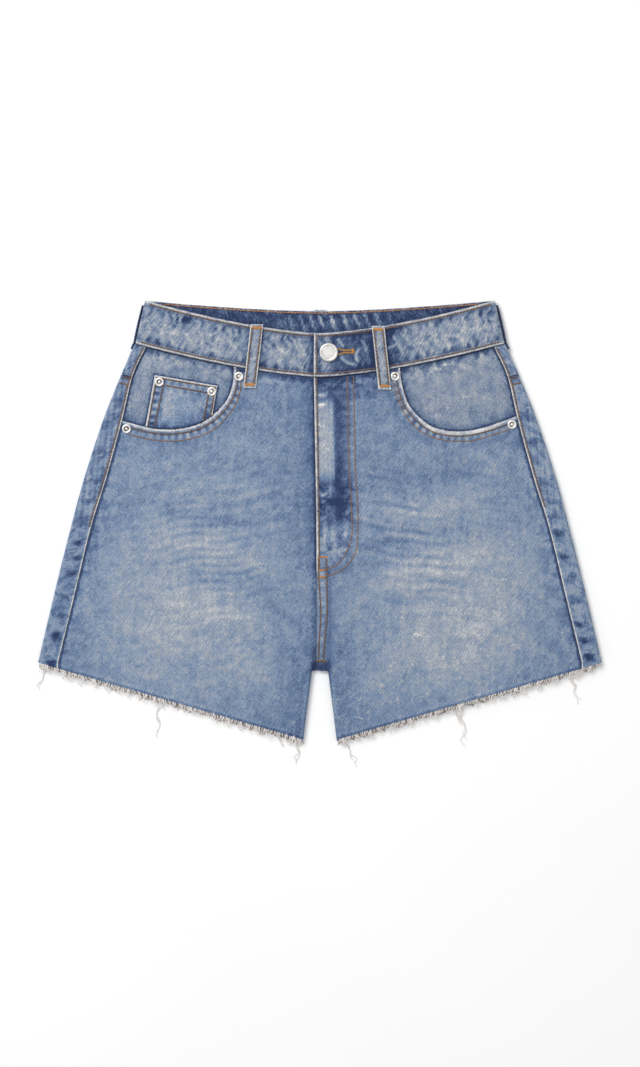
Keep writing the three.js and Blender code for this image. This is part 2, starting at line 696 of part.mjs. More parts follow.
function fray(name, layer) {
  const side = SIDES[name];
  const onFront = layer === "front";
  const starts = onFront ? FRONT_START : BACK_START;
  const from = startAt(starts, 1).x + FRAY.inset;
  const to = foldAt(1).x - FRAY.inset;
  const place = (half, down) => {
    const x = side * half;
    const y = levelY(starts, 1, half) - SEAM - down;
    const z = onFront ? frontHeight(x, y, side) - CLOTH / 2 : backHeight(half, y) + CLOTH / 2;
    return new THREE.Vector3(x, y, z);
  };
  const rise = new THREE.Vector3(0, 0, FRAY.thick / 2);
  const outer = [0, FRAY.strip].map((down) => steps(from, to, 16).map((half) => place(half, down).add(rise)));
  const pieces = [toManifold(wall(outer, FRAY.thick, side))];
  const root = FRAY.strip - FRAY.radius; // the strands start inside the strip
  const count = Math.floor((to - from) / FRAY.spacing);
  for (let i = 0; i < count; i += 1) {
    const seed = i + (onFront ? 0 : 100) + (side > 0 ? 200 : 0);
    const half = from + (i + 0.3 + 0.6 * scatter(seed)) * FRAY.spacing;
    const length = lerp(FRAY.shortest, FRAY.longest, scatter(seed + 0.5) ** 1.5);
    const lean = 3 * (scatter(seed + 0.7) - 0.5);
    pieces.push(shortStrand(place(half, root), length, lean, onFront));
  }
  for (const long of LONG_STRANDS[name].filter((row) => row.layer === layer)) {
    pieces.push(longStrand(place(side * long.x, root), long));
  }
  return fromManifold(wasm.Manifold.union(pieces));
}

function shortStrand(root, length, lean, onFront) {
  const sink = onFront ? 0.5 : 0;
  const tip = { x: root.x + lean, y: root.y - length, z: root.z - sink };
  return strand([root, tip], FRAY.radius);
}

// A long loose thread falls from the hem to just above the table
function longStrand(root, { length, lean }) {
  const floor = FRAY.radius + 0.3;
  const path = [
    root,
    { x: root.x - 0.15 * lean, y: root.y - 0.2 * length, z: lerp(root.z, floor, 0.45) },
    { x: root.x + 0.25 * lean, y: root.y - 0.55 * length, z: floor },
    { x: root.x + lean, y: root.y - length, z: floor },
  ];
  return strand(path, FRAY.radius);
}

// The garment

function material(colour, roughness = 0.9, metalness = 0) {
  return new THREE.MeshStandardMaterial({ color: colour, roughness, metalness });
}

const denim = material(COLOURS.denim);
const facingDenim = material(COLOURS.facing);
const bandDenim = material(COLOURS.band);
const metal = material(COLOURS.metal, 0.35, 1);
const thread = material(COLOURS.thread);
const shorts = new THREE.Group();

function add(name, geometry, finish, position = [0, 0, 0]) {
  const mesh = new THREE.Mesh(geometry, finish);
  mesh.name = name;
  mesh.position.set(...position);
  shorts.add(mesh);
  return mesh;
}

for (const [name, side] of Object.entries(SIDES)) {
  add(`front_${name}`, front(name), denim);
  const [yokeLevels, lowerLevels] = [
    steps(0, YOKE_LEVEL, 4),
    [YOKE_LEVEL, ...LEVELS.filter((level) => level > YOKE_LEVEL + 0.01)],
  ];
  add(`yoke_${name}`, backSheet(side, yokeLevels), denim);
  add(`back_${name}`, backSheet(side, lowerLevels, SEAM), denim);
  add(`pocket_facing_${name}`, facing(name), facingDenim);
  const pocket = backPocket(side);
  add(`back_pocket_${name}`, pocket.geometry, denim, pocket.position).rotation.z = degToRad(pocket.turn);
  add(`belt_loop_front_${name}`, frontLoop(side, FRONT_LOOPS[name]), bandDenim);
  add(`belt_loop_side_${name}`, sideLoop(side), bandDenim);
  add(`frayed_hem_front_${name}`, fray(name, "front"), thread);
  add(`frayed_hem_back_${name}`, fray(name, "back"), thread);
}
add("coin_pocket", coinPocket(), denim);
add("waistband", waistband(), bandDenim);
add("belt_loop_back", backLoop(), bandDenim);
const buttonSeat = [BUTTON.x, BUTTON.y, UNDERLAP_LIE.height + SEAM];
add("button", button(), metal, buttonSeat).rotation.x = Math.PI / 2;
RIVETS.forEach(({ x, y }, i) => {
  const rim = steps(0, 2 * Math.PI, 8);
  const under = rim.map((angle) => frontHeight(
    x + RIVET_RADIUS * Math.cos(angle),
    y + RIVET_RADIUS * Math.sin(angle),
    Math.sign(x),
  ));
  add(`rivet_${i + 1}`, rivet(), metal, [x, y, Math.max(...under) + SEAM]).rotation.x = Math.PI / 2;
});

export default shorts;
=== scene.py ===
"""Light-blue denim shorts with frayed raw hems, buttoned and lying flat on their back.

The garment is remade as it is sewn: each cut piece is a thin closed sheet of cloth on the form of its solid,
with its creases, puckered seams and worn edges, and the topstitching, frayed threads, button and rivets are
pieces of their own. Sizes are in millimetres until a mesh is made. X runs across, Y up the garment and Z up
from the table. Right and left are the wearer's, and the right side has the smaller X.
"""

import math

import bpy
import numpy as np
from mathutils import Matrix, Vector
from mathutils.bvhtree import BVHTree


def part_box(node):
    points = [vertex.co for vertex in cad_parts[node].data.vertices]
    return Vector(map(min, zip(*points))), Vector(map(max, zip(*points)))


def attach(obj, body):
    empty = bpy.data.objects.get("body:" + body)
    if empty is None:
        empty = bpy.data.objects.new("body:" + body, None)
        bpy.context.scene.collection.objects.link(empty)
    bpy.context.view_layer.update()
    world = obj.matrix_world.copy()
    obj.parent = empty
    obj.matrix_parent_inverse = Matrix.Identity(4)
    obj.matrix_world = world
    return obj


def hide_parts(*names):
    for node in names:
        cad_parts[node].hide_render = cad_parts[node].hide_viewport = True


MM = 0.001

# Thicknesses, and how the layers lie
CLOTH = 1.0
BAND = 1.8
LOOP = 1.3
SEAM = 0.3
LIE = 5.5
LEG_MIDDLE = LIE / 2
LEG_RADIUS = 2.6
BAND_LIE = {"height": 6.1, "start": 72, "end": 118}
SIDE_FOLD_LIE = {"height": 7.0, "start": 150}
FLAP_LIE = {"height": 7.6, "end": 26}
UNDERLAP_LIE = {"height": 5.5, "end": 12, "start": 48}

# The waistband's edges: height at the centre and at the side fold, and half the width at the fold
FRONT_TOP = {"centre": 185.6, "side": 215.8, "half": 161.9}
FRONT_BOTTOM = {"centre": 144.8, "side": 175.6, "half": 170.9}
BACK_TOP = {"centre": 206.0, "side": 215.8, "half": 161.9}
BACK_BOTTOM = {"centre": 165.0, "side": 175.6, "half": 170.9}
BAND_BREADTH = 40.5
EDGE_BEND = 1.5
FLAP_END_X = -6
UNDERLAP_END_X = 23

# Down the side: height, half width to the outer fold, half width to the side seam
SIDE = np.array([
    (175.6, 171.5, 159.2),
    (146.8, 184.1, 172.6),
    (105.0, 200.8, 182.8),
    (50.0, 218.7, 197.8),
    (6.0, 230.6, 211.5),
    (-55.0, 245.8, 226.3),
    (-119.6, 261.0, 242.0),
])
FOLD, SIDE_SEAM = 1, 2
HEM_SIDE_Y = -119.6
BAND_SIDE_Y = 175.6

# Side seams and hems lean, so a step across or down is this much of a step square to them
SEAM_LEAN = 0.96
HEM_LEAN = 0.95

# A distance from a seam at which neither its wear nor its painted shade shows any more
NO_SEAM = 9.0

# A level is a line across one side, 0 at the waistband and 1 at the hem: level, and x and y of its start
YOKE_LEVEL = 0.094
CROTCH_LEVEL = 0.77
LEG_LEVEL = 0.79
FRONT_START = np.array([
    (0, 0, 144.5),
    (0.7, 0, -108),
    (CROTCH_LEVEL, 0, -127),
    (LEG_LEVEL, 7.4, -127.6),
    (1, 15.5, -190.8),
])
BACK_START = np.array([
    (0, 0, 164.7),
    (YOKE_LEVEL, 0, 103),
    (0.7, 0, -108),
    (CROTCH_LEVEL, 0, -127),
    (LEG_LEVEL, 7.4, -127.6),
    (1, 15.5, -192.3),
])
STRAIGHT_FROM_LEVEL = 0.35

# The centre front's edge: height, and how far right of the middle the left front laps over
CENTRE_FRONT = np.array([(145, -6), (0, -3.6), (-127, -3.6)])
LAP_REACH = 40
LAP = {"sink": 0.9, "rise": 0.25, "breadth": 13, "fades": -60}
CENTRE_COLUMNS = ((0, 30, 60, 90), (0, 2.2, 4.6, 7.4))
TRENCH = {"middle": 0.4, "depth": 2.2, "half": 5.4, "wall": 2.4, "top": -103, "bottom": -111}

# The front's main creases, as its solid has them: middle, slope in degrees, length, breadth and rise
CREASES = (
    (-95, 45, -7, 120, 8, 0.4),
    (-100, 14, -9, 130, 8, -0.45),
    (-105, -12, -11, 140, 9, 0.42),
    (-96, -42, -13, 130, 9, -0.4),
    (-100, -72, -14, 120, 10, 0.38),
    (-194, 60, 73, 80, 7, 0.4),
    (-206, -6, 72, 80, 7, -0.3),
    (-60, -130, -50, 90, 10, 0.35),
    (98, 52, 5, 125, 8, -0.4),
    (104, 24, 8, 140, 8, 0.42),
    (96, -4, 10, 130, 9, -0.42),
    (102, -30, 12, 140, 9, 0.42),
    (100, -60, 14, 120, 10, -0.36),
    (200, 40, -72, 90, 7, 0.4),
    (52, -134, 52, 90, 10, 0.35),
    (17, 62, 88, 110, 6, 0.35),
)

# Softer folds between them, which only the cloth has
FRONT_FOLDS = (
    (-66, 78, -24, 46, 4.5, 0.34),
    (-48, 44, -38, 40, 4, -0.3),
    (-40, 8, -18, 52, 5, 0.3),
    (-150, 62, 12, 60, 5.5, 0.34),
    (-166, 28, 22, 52, 5, -0.32),
    (-58, -30, -30, 60, 5, 0.34),
    (-34, -74, -46, 54, 4.5, -0.34),
    (-150, -96, -20, 70, 6, 0.3),
    (-196, -100, 62, 64, 6, 0.34),
    (-118, -126, -8, 66, 6.5, -0.28),
    (-24, -100, -62, 44, 4, 0.4),
    (58, 96, 20, 38, 4, 0.32),
    (60, 66, 34, 44, 4.5, -0.32),
    (46, 22, 28, 50, 4.5, 0.34),
    (150, 70, -16, 58, 5, 0.32),
    (168, 22, -26, 54, 5.5, -0.34),
    (64, -22, 32, 58, 5, -0.32),
    (30, -72, 48, 50, 4.5, 0.38),
    (156, -84, 18, 72, 6, 0.34),
    (206, -92, -60, 60, 6, -0.3),
    (124, -116, 6, 64, 6, 0.3),
    (22, -104, 64, 40, 4, -0.36),
    (-104, -108, 62, 28, 2.4, 0.36),
    (-95, -112, -38, 24, 2.2, 0.34),
    (-113, -119, -12, 26, 2.4, -0.3),
    (-88, -124, 10, 22, 2.2, 0.3),
    (130, -80, 84, 42, 2.6, 0.3),
    (121, -94, 66, 32, 2.2, -0.26),
    (141, -68, 104, 36, 2.4, 0.28),
    (152, -96, 48, 28, 2.2, 0.26),
    (86, 70, -62, 30, 2.4, 0.26),
    (-186, 30, 60, 34, 2.6, 0.26),
)

# Folds of the back, which lie hollow over the table: soft troughs, so every rise is upwards
BACK_FOLDS = (
    (-60, -28, -24, 110, 9, 0.7),
    (-96, -66, -16, 140, 11, 0.8),
    (-128, -108, -10, 120, 10, 0.6),
    (-176, -40, 66, 96, 8, 0.7),
    (-40, 70, 70, 60, 6, 0.5),
    (-24, -92, -52, 66, 6, 0.8),
    (-205, 4, 74, 70, 7, 0.5),
    (56, -34, 28, 104, 9, 0.75),
    (104, -74, 14, 132, 10, 0.7),
    (140, -112, 8, 110, 10, 0.65),
    (182, -44, -68, 90, 8, 0.6),
    (36, 62, -64, 58, 6, 0.5),
    (26, -96, 50, 60, 6, 0.75),
    (208, 10, -72, 66, 7, 0.55),
)

# Folds of a back pocket, placed from its middle
POCKET_FOLDS = (
    (-10, 20, -12, 70, 9, 0.3),
    (16, -20, 22, 60, 8, 0.35),
    (-24, -34, -38, 44, 6, 0.3),
)

# Front pockets' mouths, and the coin pocket
MOUTH_KNOTS = {
    -1: (
        (-79.6, 156), (-80.9, 138), (-87.6, 121.4), (-104, 105.6),
        (-125, 97.6), (-152, 96.8), (-184, 104.6),
    ),
    1: (
        (73.8, 156), (76.6, 135), (84.8, 115.4), (104, 98.8),
        (128, 94.4), (152, 98.2), (184, 109.4),
    ),
}
BEYOND_SIDE_X = 215
BEYOND_BAND_Y = 200
POCKET_CORNER = (166, 172)
FACING_SPREAD = 1.14
COIN_SHRINK = 0.994
COIN_TOP = ((-152.9, 146.7), (-94.7, 136.6))
COIN_SIDES = (((-152.9, 146.7), (-163, 90)), ((-94.7, 136.6), (-101, 100)))

# Back pockets, belt loops and metal
BACK_POCKET = {"x": 112, "y": 38, "turn": 9, "top": 62, "bottom": 54, "up": 68, "down": 52, "point": 18}
POCKET_EASE = {"x": 15, "y": 17, "spread": 1.3}
LOOP_WIDTH = 12
FRONT_LOOPS = {-1: ((-58.3, 193.4), (-65, 134.4)), 1: ((53.7, 191.9), (59.9, 133))}
BACK_LOOP = {"top": 207.5, "bottom": 150}
LOOP_EASE = {"near": 6, "far": 28, "below": 8, "slope": 18}
SIDE_LOOP = {"top": 211.5, "bottom": 171, "stand_off": 0.6, "under": 8.5, "height": 4.4, "bend": 2.4}
SIDE_LOOP_EASE = {"near": 6, "far": 26, "below": 4, "slope": 12}
BAND_TAPER = 0.22
LOOP_BOW = 0.5
FRONT_LOOP_STAND_OFF = 0.25
LOOP_STIFFNESS = 3
BUTTON = {"x": 8, "y": 167.4, "radius": 8.6, "height": 2.4, "shank": 2.3}
RIVETS = ((-74.9, 145.4), (-179.0, 96.8), (-148.6, 140.2), (-100.2, 131.4), (69.4, 145.4), (177.6, 100.8))

# Loose threads longer than the fringe: x, length, lean, and whether they hang from the front's hem
LONG_THREADS = (
    (-254, 24, -7, True),
    (-149, 37, -3, True),
    (-39, 12, 4, False),
    (-20, 24, -2, True),
    (21, 26.4, 12, True),
    (124, 17, 5, False),
    (127, 38, 8, True),
    (232, 30, 8, True),
)

SIDES = {"right": -1, "left": 1}
UP = (0, 0, 1)
DOWN = (0, 0, -1)


# Curves and tables

def mix(a, b, share):
    return a + (b - a) * share


def smooth(value, low, high):
    """From 0 to 1 as value goes from low to high, with soft ends."""
    t = np.clip((value - low) / (high - low), 0, 1)
    return t * t * (3 - 2 * t)


def bump(value, middle, breadth):
    """1 at the middle, falling softly to 0 on both sides."""
    return np.exp(-(((value - middle) / breadth) ** 2))


def between(value, start, full, fade, end):
    """1 from full to fade, falling softly to 0 at start and end."""
    return smooth(value, start, full) * (1 - smooth(value, fade, end))


def column_at(table, column, y):
    """One column of a table at y, on a smooth curve through the rows."""
    heights, values = table[:, 0], table[:, column]
    last = len(heights) - 1
    y = np.asarray(y, float)
    i = (y[..., None] < heights[1:last]).sum(-1)
    before, after = np.maximum(i - 1, 0), np.minimum(i + 2, last)
    span = heights[i + 1] - heights[i]
    start = (values[i + 1] - values[before]) / (heights[i + 1] - heights[before]) * span
    end = (values[after] - values[i]) / (heights[after] - heights[i]) * span
    t = np.clip((y - heights[i]) / span, 0, 1)
    rise = values[i + 1] - values[i]
    return values[i] + t * start + t * t * (3 * rise - 2 * start - end) + t ** 3 * (start + end - 2 * rise)


def curve(knots, steps=40):
    """Points of a smooth curve through the knots."""
    knots = np.array(knots, float)
    last = len(knots) - 1
    place = np.linspace(0, last, steps + 1)
    i = np.minimum(place.astype(int), last - 1)
    t = (place - i)[:, None]
    a, b = knots[i], knots[i + 1]
    start = (b - knots[np.maximum(i - 1, 0)]) / 2
    end = (knots[np.minimum(i + 2, last)] - a) / 2
    return a + start * t + (3 * (b - a) - 2 * start - end) * t ** 2 + (2 * (a - b) + start + end) * t ** 3


def spaced(line, pitch):
    """Points along a line at an even pitch, and the direction at each."""
    line = np.array(line, float)
    steps = np.hypot(*np.diff(line, axis=0).T)
    run = np.concatenate([[0], np.cumsum(steps)])
    at = np.arange(pitch / 2, run[-1], pitch)
    points = np.stack([np.interp(at, run, line[:, k]) for k in range(2)], axis=1)
    ahead = np.stack([np.interp(at + 0.5, run, line[:, k]) for k in range(2)], axis=1)
    behind = np.stack([np.interp(at - 0.5, run, line[:, k]) for k in range(2)], axis=1)
    way = ahead - behind
    return points, way / np.linalg.norm(way, axis=1, keepdims=True)


def nearest(x, y, line):
    """Distance to a line, how far along it the nearest place is, and that place."""
    best = np.full(np.shape(x), 1e9)
    run, near_x, near_y = np.zeros(best.shape), np.zeros(best.shape), np.zeros(best.shape)
    passed = 0
    for (ax, ay), (bx, by) in zip(line[:-1], line[1:]):
        length = max(math.hypot(bx - ax, by - ay), 1e-9)
        t = np.clip(((x - ax) * (bx - ax) + (y - ay) * (by - ay)) / length ** 2, 0, 1)
        on_x, on_y = ax + t * (bx - ax), ay + t * (by - ay)
        distance = np.hypot(x - on_x, y - on_y)
        nearer = distance < best
        best = np.where(nearer, distance, best)
        run = np.where(nearer, passed + t * length, run)
        near_x = np.where(nearer, on_x, near_x)
        near_y = np.where(nearer, on_y, near_y)
        passed += length
    return best, run, near_x, near_y


def inside(x, y, outline):
    """Whether each point lies within a closed outline."""
    found = np.zeros(np.shape(x), bool)
    for (ax, ay), (bx, by) in zip(outline, np.roll(outline, -1, axis=0)):
        crosses = (ay > y) != (by > y)
        at = ax + (y - ay) * (bx - ax) / (by - ay if by != ay else 1e-9)
        found ^= crosses & (x < at)
    return found


def puckers(run, pitch, seed):
    """An uneven wave from -1 to 1 along a seam, as the cloth bunches between stitches."""
    phase = 1.3 * np.sin(run / 23 + seed) + 0.8 * np.sin(run / 9.1 + 2 * seed)
    return np.sin(2 * math.pi * run / pitch + phase) * (0.65 + 0.35 * np.sin(run / 31 + 3 * seed))


def uneven(x, y, seed, length=9.0):
    """A soft surface from -1 to 1, of a few waves that cross."""
    total = 0
    for step in range(5):
        turn = seed + 2.4 * step
        across = x * math.cos(turn) + y * math.sin(turn)
        sway = 1.4 * np.sin((y * math.cos(turn) - x * math.sin(turn)) * 2 * math.pi / (3.7 * length) + turn)
        total = total + np.sin(across * 2 * math.pi / (length * (1 + 0.45 * step)) + 3.1 * turn + sway)
    return total / 2.4


def whiskers(x, y, slope, seed):
    """Faint light and dark lines from -1 to 1, nearly level across the thigh."""
    across = y - slope * x
    total = 0
    for step, (length, weight) in enumerate(((7.5, 1.2), (11, 1.1), (16.5, 0.7), (24, 0.4))):
        sway = 1.5 * np.sin(x / (15 + 7 * step) + seed * (step + 1))
        sway = sway + 0.8 * np.sin(x / 8.3 + across / 19 + step)
        share = 0.55 + 0.45 * np.sin(x / (21 + 8 * step) + across / 31 + 1.7 * seed + step)
        total = total + weight * share * np.sin(across * 2 * math.pi / length + sway + 2.3 * step)
    return total / 2


def fold_shape(fold, x, y):
    """How much of a crease's rise is at a point, with its sign."""
    fold_x, fold_y, turn, length, breadth, rise = fold
    angle = math.radians(turn)
    along = (x - fold_x) * math.cos(angle) + (y - fold_y) * math.sin(angle)
    across = (y - fold_y) * math.cos(angle) - (x - fold_x) * math.sin(angle)
    ends = 1 - smooth(np.abs(along), 0.25 * length, 0.5 * length)
    return rise * ends * np.exp(-((across / breadth) ** 2))


# The garment's form, as its solids have it

def edge_y(edge, x):
    """The height on the garment of an edge of the waistband at x."""
    return edge["centre"] + (edge["side"] - edge["centre"]) * np.abs(x / edge["half"]) ** EDGE_BEND


def fold_at(level):
    """Half width and height of the outer fold at a level."""
    y = mix(BAND_SIDE_Y - SEAM, HEM_SIDE_Y, level)
    return column_at(SIDE, FOLD, y), y


def start_at(starts, level):
    """Half width and height at which a level starts, on the centre line or the inner leg."""
    return np.interp(level, starts[:, 0], starts[:, 1]), np.interp(level, starts[:, 0], starts[:, 2])


def level_y(starts, level, x):
    """The height on the garment of a point of a level, at half width x."""
    start_x, start_y = start_at(starts, level)
    fold_x, fold_y = fold_at(level)
    bend = mix(EDGE_BEND, 1, np.minimum(1, level / STRAIGHT_FROM_LEVEL))
    t = np.clip((x - start_x) / (fold_x - start_x), 0, 1)
    return mix(start_y, fold_y, t ** bend)


def seam_at(level):
    """Half width of the side seam at a level."""
    x = fold_at(level)[0] - 20
    for _ in range(6):
        x = column_at(SIDE, SIDE_SEAM, level_y(FRONT_START, level, x))
    return x


def leg_share(level):
    """0 above the crotch and 1 on the legs."""
    return np.clip((level - CROTCH_LEVEL) / (LEG_LEVEL - CROTCH_LEVEL), 0, 1)


def inner_columns(level):
    """Offsets from a level's start, and shares of the fold's drop, down the centre seam and inner leg."""
    turn = np.linspace(0, math.pi / 2, 7)
    centre = np.interp(turn, np.radians(CENTRE_COLUMNS[0]), CENTRE_COLUMNS[1]) + SEAM / 2
    leg = leg_share(level)
    return mix(centre, LEG_RADIUS * (1 - np.cos(turn)), leg), leg * (1 - np.sin(turn))


def front_height(x, y, side):
    """The face of the front layer."""
    creases = sum(fold_shape(crease, x, y) for crease in CREASES)
    edge = column_at(CENTRE_FRONT, 1, y)
    beside_lap = bump(x, edge, LAP["breadth"]) * smooth(y, TRENCH["bottom"], LAP["fades"])
    lap = beside_lap * (-LAP["sink"] if side < 0 else LAP["rise"])
    across = np.abs(x - TRENCH["middle"])
    in_trench = 1 - smooth(across, TRENCH["half"], TRENCH["half"] + TRENCH["wall"])
    trench = TRENCH["depth"] * in_trench * (1 - smooth(y, TRENCH["bottom"], TRENCH["top"]))
    return LIE + creases * (1 - in_trench) + lap - trench


def above(y, lower_end, ease):
    """1 above the lower end of a loop, and 0 a little below it."""
    return smooth(y, lower_end - ease["below"] - ease["slope"], lower_end - ease["below"])


def back_height(x, y):
    """The underside of the back layer, over what is sewn on it."""
    angle = math.radians(BACK_POCKET["turn"])
    dx, dy = np.abs(x) - BACK_POCKET["x"], y - BACK_POCKET["y"]
    u = (dx * math.cos(angle) + dy * math.sin(angle)) / (BACK_POCKET["top"] + POCKET_EASE["x"])
    v = (dy * math.cos(angle) - dx * math.sin(angle)) / (BACK_POCKET["up"] + POCKET_EASE["y"])
    over_pocket = 1 - smooth((u ** 4 + v ** 4) ** 0.25, 1, POCKET_EASE["spread"])
    near, far = LOOP_WIDTH / 2 + LOOP_EASE["near"], LOOP_WIDTH / 2 + LOOP_EASE["far"]
    over_loop = above(y, BACK_LOOP["bottom"], LOOP_EASE) * (1 - smooth(np.abs(x), near, far))
    lean = np.maximum(0, y - BAND_SIDE_Y) * BAND_TAPER
    loop_edge = column_at(SIDE, FOLD, np.minimum(y, BAND_SIDE_Y)) - lean - SIDE_LOOP["under"]
    beside = smooth(np.abs(x), loop_edge - SIDE_LOOP_EASE["far"], loop_edge - SIDE_LOOP_EASE["near"])
    over_side_loop = above(y, SIDE_LOOP["bottom"], SIDE_LOOP_EASE) * beside
    return np.maximum((CLOTH + SEAM) * over_pocket, (LOOP + SEAM) * np.maximum(over_loop, over_side_loop))


def band_height(x, flap):
    """The face of the waistband on the front."""
    near_fold = smooth(np.abs(x), BAND_LIE["end"], SIDE_FOLD_LIE["start"])
    rest = mix(BAND_LIE["height"], SIDE_FOLD_LIE["height"], near_fold)
    middle = FLAP_LIE if flap else UNDERLAP_LIE
    start = BAND_LIE["start"] if flap else UNDERLAP_LIE["start"]
    return mix(middle["height"], rest, smooth(np.abs(x), middle["end"], start))


def mouth_curve(side, scale=1.0):
    """A front pocket's mouth, scaled from the corner of side seam and waistband."""
    corner = np.array([side * POCKET_CORNER[0], POCKET_CORNER[1]])
    return corner + (curve(MOUTH_KNOTS[side]) - corner) * scale


def mouth_outline(side, line):
    """The mouth's line, closed beyond the side and the waistband."""
    last_y = line[-1][1]
    beyond_x = side * BEYOND_SIDE_X
    beyond = ((beyond_x, last_y + 8), (beyond_x, BEYOND_BAND_Y))
    return np.array([(line[0][0], BEYOND_BAND_Y), *line, *beyond])


# Meshes

def put_in_scene(name, points, faces, material, traits=None):
    """Makes a piece from points in millimetres. Traits are what its material reads at each point."""
    mesh = bpy.data.meshes.new(name)
    mesh.from_pydata((np.asarray(points) * MM).tolist(), [], [list(face) for face in faces])
    mesh.update()
    for trait, values in (traits or {}).items():
        vector = np.ndim(values) == 2
        attribute = mesh.attributes.new(trait, "FLOAT_VECTOR" if vector else "FLOAT", "POINT")
        attribute.data.foreach_set("vector" if vector else "value", np.asarray(values, np.float32).ravel())
    mesh.polygons.foreach_set("use_smooth", [True] * len(mesh.polygons))
    mesh.materials.append(material)
    piece = bpy.data.objects.new(name, mesh)
    bpy.context.scene.collection.objects.link(piece)
    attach(piece, "root")
    return piece


def grid_normals(outer, outward):
    """Unit normals of a grid, turned so that the first point of its middle row faces outward."""
    normal = np.cross(np.gradient(outer, axis=1), np.gradient(outer, axis=0))
    normal /= np.maximum(np.linalg.norm(normal, axis=2, keepdims=True), 1e-9)
    turned = np.dot(normal[len(outer) // 2, 0], outward) < 0
    return (-normal if turned else normal), turned


def sheet_mesh(name, outer, thickness, traits, outward, material, keep=None):
    """A closed thin sheet of cloth on a grid of outer points, with a rounded cut edge."""
    rows, columns = outer.shape[:2]
    normal, turned = grid_normals(outer, outward)
    number = np.arange(rows * columns).reshape(rows, columns)
    corners = (number[:-1, :-1], number[:-1, 1:], number[1:, 1:], number[1:, :-1])
    faces = np.stack([corner.ravel() for corner in corners], axis=1)
    if keep is not None:
        faces = faces[keep.ravel()]
    if turned:
        faces = faces[:, ::-1]
    used = np.unique(faces)
    renumber = np.full(rows * columns, -1)
    renumber[used] = np.arange(len(used))
    faces = renumber[faces]
    outer, normal = outer.reshape(-1, 3)[used], normal.reshape(-1, 3)[used]
    inner = outer - normal * thickness
    count = len(used)
    edges = np.concatenate([faces[:, [k, (k + 1) % 4]] for k in range(4)])
    is_rim = ~np.isin(edges[:, 1] * count + edges[:, 0], edges[:, 0] * count + edges[:, 1])
    rim = edges[is_rim]
    outwards = np.zeros((count, 3))
    for a, b in rim:
        way = np.cross(outer[b] - outer[a], normal[a])
        outwards[a] += way
        outwards[b] += way
    rim_points = np.unique(rim)
    lengths = np.linalg.norm(outwards[rim_points], axis=1, keepdims=True)
    pull = 0.28 * thickness * outwards[rim_points] / np.maximum(lengths, 1e-9)
    middle = (outer[rim_points] + inner[rim_points]) / 2
    outer[rim_points] -= pull
    inner[rim_points] -= pull
    place = np.zeros(count, int)
    place[rim_points] = 2 * count + np.arange(len(rim_points))
    a, b = rim[:, 0], rim[:, 1]
    upper = np.stack([b, a, place[a], place[b]], axis=1)
    lower = np.stack([place[b], place[a], a + count, b + count], axis=1)
    all_faces = np.concatenate([faces, faces[:, ::-1] + count, upper, lower])
    points = np.concatenate([outer, inner, middle])
    values = {}
    for trait, pair in traits.items():
        face, back = pair if isinstance(pair, tuple) else (pair, pair)
        depth = (3,) if np.ndim(face) == 3 else ()
        shape = (rows, columns, *depth)
        face, back = (np.broadcast_to(value, shape).reshape(-1, *depth)[used] for value in (face, back))
        values[trait] = np.concatenate([face, back, face[rim_points]])
    return put_in_scene(name, points, all_faces.tolist(), material, values)


def cloth_place(x, y, piece_number):
    """Where each point lies on the flat cloth, in metres. The number sets one piece's pattern apart."""
    x, y = np.broadcast_arrays(x, y)
    return np.stack([x * MM, y * MM, np.full_like(x, piece_number)], axis=2)


def run_of(outer):
    """How far along its row each point of a grid lies."""
    steps = np.linalg.norm(np.diff(outer, axis=1), axis=2)
    return np.concatenate([np.zeros((len(outer), 1)), np.cumsum(steps, axis=1)], axis=1)


# Materials

def linear(colour):
    """An sRGB hex colour as the shader's linear values."""
    channels = [int(colour[i:i + 2], 16) / 255 for i in (1, 3, 5)]
    straight = [c / 12.92 if c <= 0.04045 else ((c + 0.055) / 1.055) ** 2.4 for c in channels]
    return (*straight, 1)


def add_node(tree, kind, sockets=None, stops=None, **settings):
    """Adds a node with its settings and colour stops, and sets its sockets or links them to another's."""
    made = tree.nodes.new("ShaderNode" + kind)
    for name, value in settings.items():
        setattr(made, name, value)
    for name, value in (sockets or {}).items():
        if isinstance(value, bpy.types.NodeSocket):
            tree.links.new(value, made.inputs[name])
        else:
            made.inputs[name].default_value = value
    for number, (place, colour) in enumerate(stops or ()):
        if number > 1:
            made.color_ramp.elements.new(1.0)
        made.color_ramp.elements[number].position = place
        made.color_ramp.elements[number].color = linear(colour)
    return made


def new_material(name):
    """An empty material, and its tree of nodes."""
    material = bpy.data.materials.new(name)
    material.use_nodes = True
    material.node_tree.nodes.clear()
    return material, material.node_tree


# Washed indigo from the darkest, which is painted shade in the seams' folds, to threads worn white
WASH_COLOURS = (
    (0.0, "#25365a"),
    (0.2, "#405378"),
    (0.4, "#617696"),
    (0.55, "#7d8fa8"),
    (0.7, "#9aa2ae"),
    (0.85, "#bcbec1"),
    (1.0, "#e6e4e2"),
)

# The same wash on the waistband and inside the pockets, which took more of the stones and came out greyer
GREY_WASH_COLOURS = (
    (0.0, "#223154"),
    (0.2, "#3f5174"),
    (0.4, "#63758f"),
    (0.55, "#808da2"),
    (0.7, "#9ca2ab"),
    (0.85, "#bdbec1"),
    (1.0, "#e6e4e2"),
)

# Sizes of the wash in metres, as on real cloth: clouds of dye, the stones' marks and how far they are bent,
# crinkles and the patches that they come in, and the ragged worn places and painted shade along a seam
CLOUD = 0.035
BLOTCH = 0.0085
CELL = 0.0125
WARP = 0.014
WARP_REACH = 0.011
CRINKLE = 0.0085
CRINKLE_PATCH = 0.011
CRINKLE_BREADTH = 0.02  # in the noise's own height, which makes lines about half a millimetre wide
WEAR = 0.003
WEAR_PATCH = 0.006

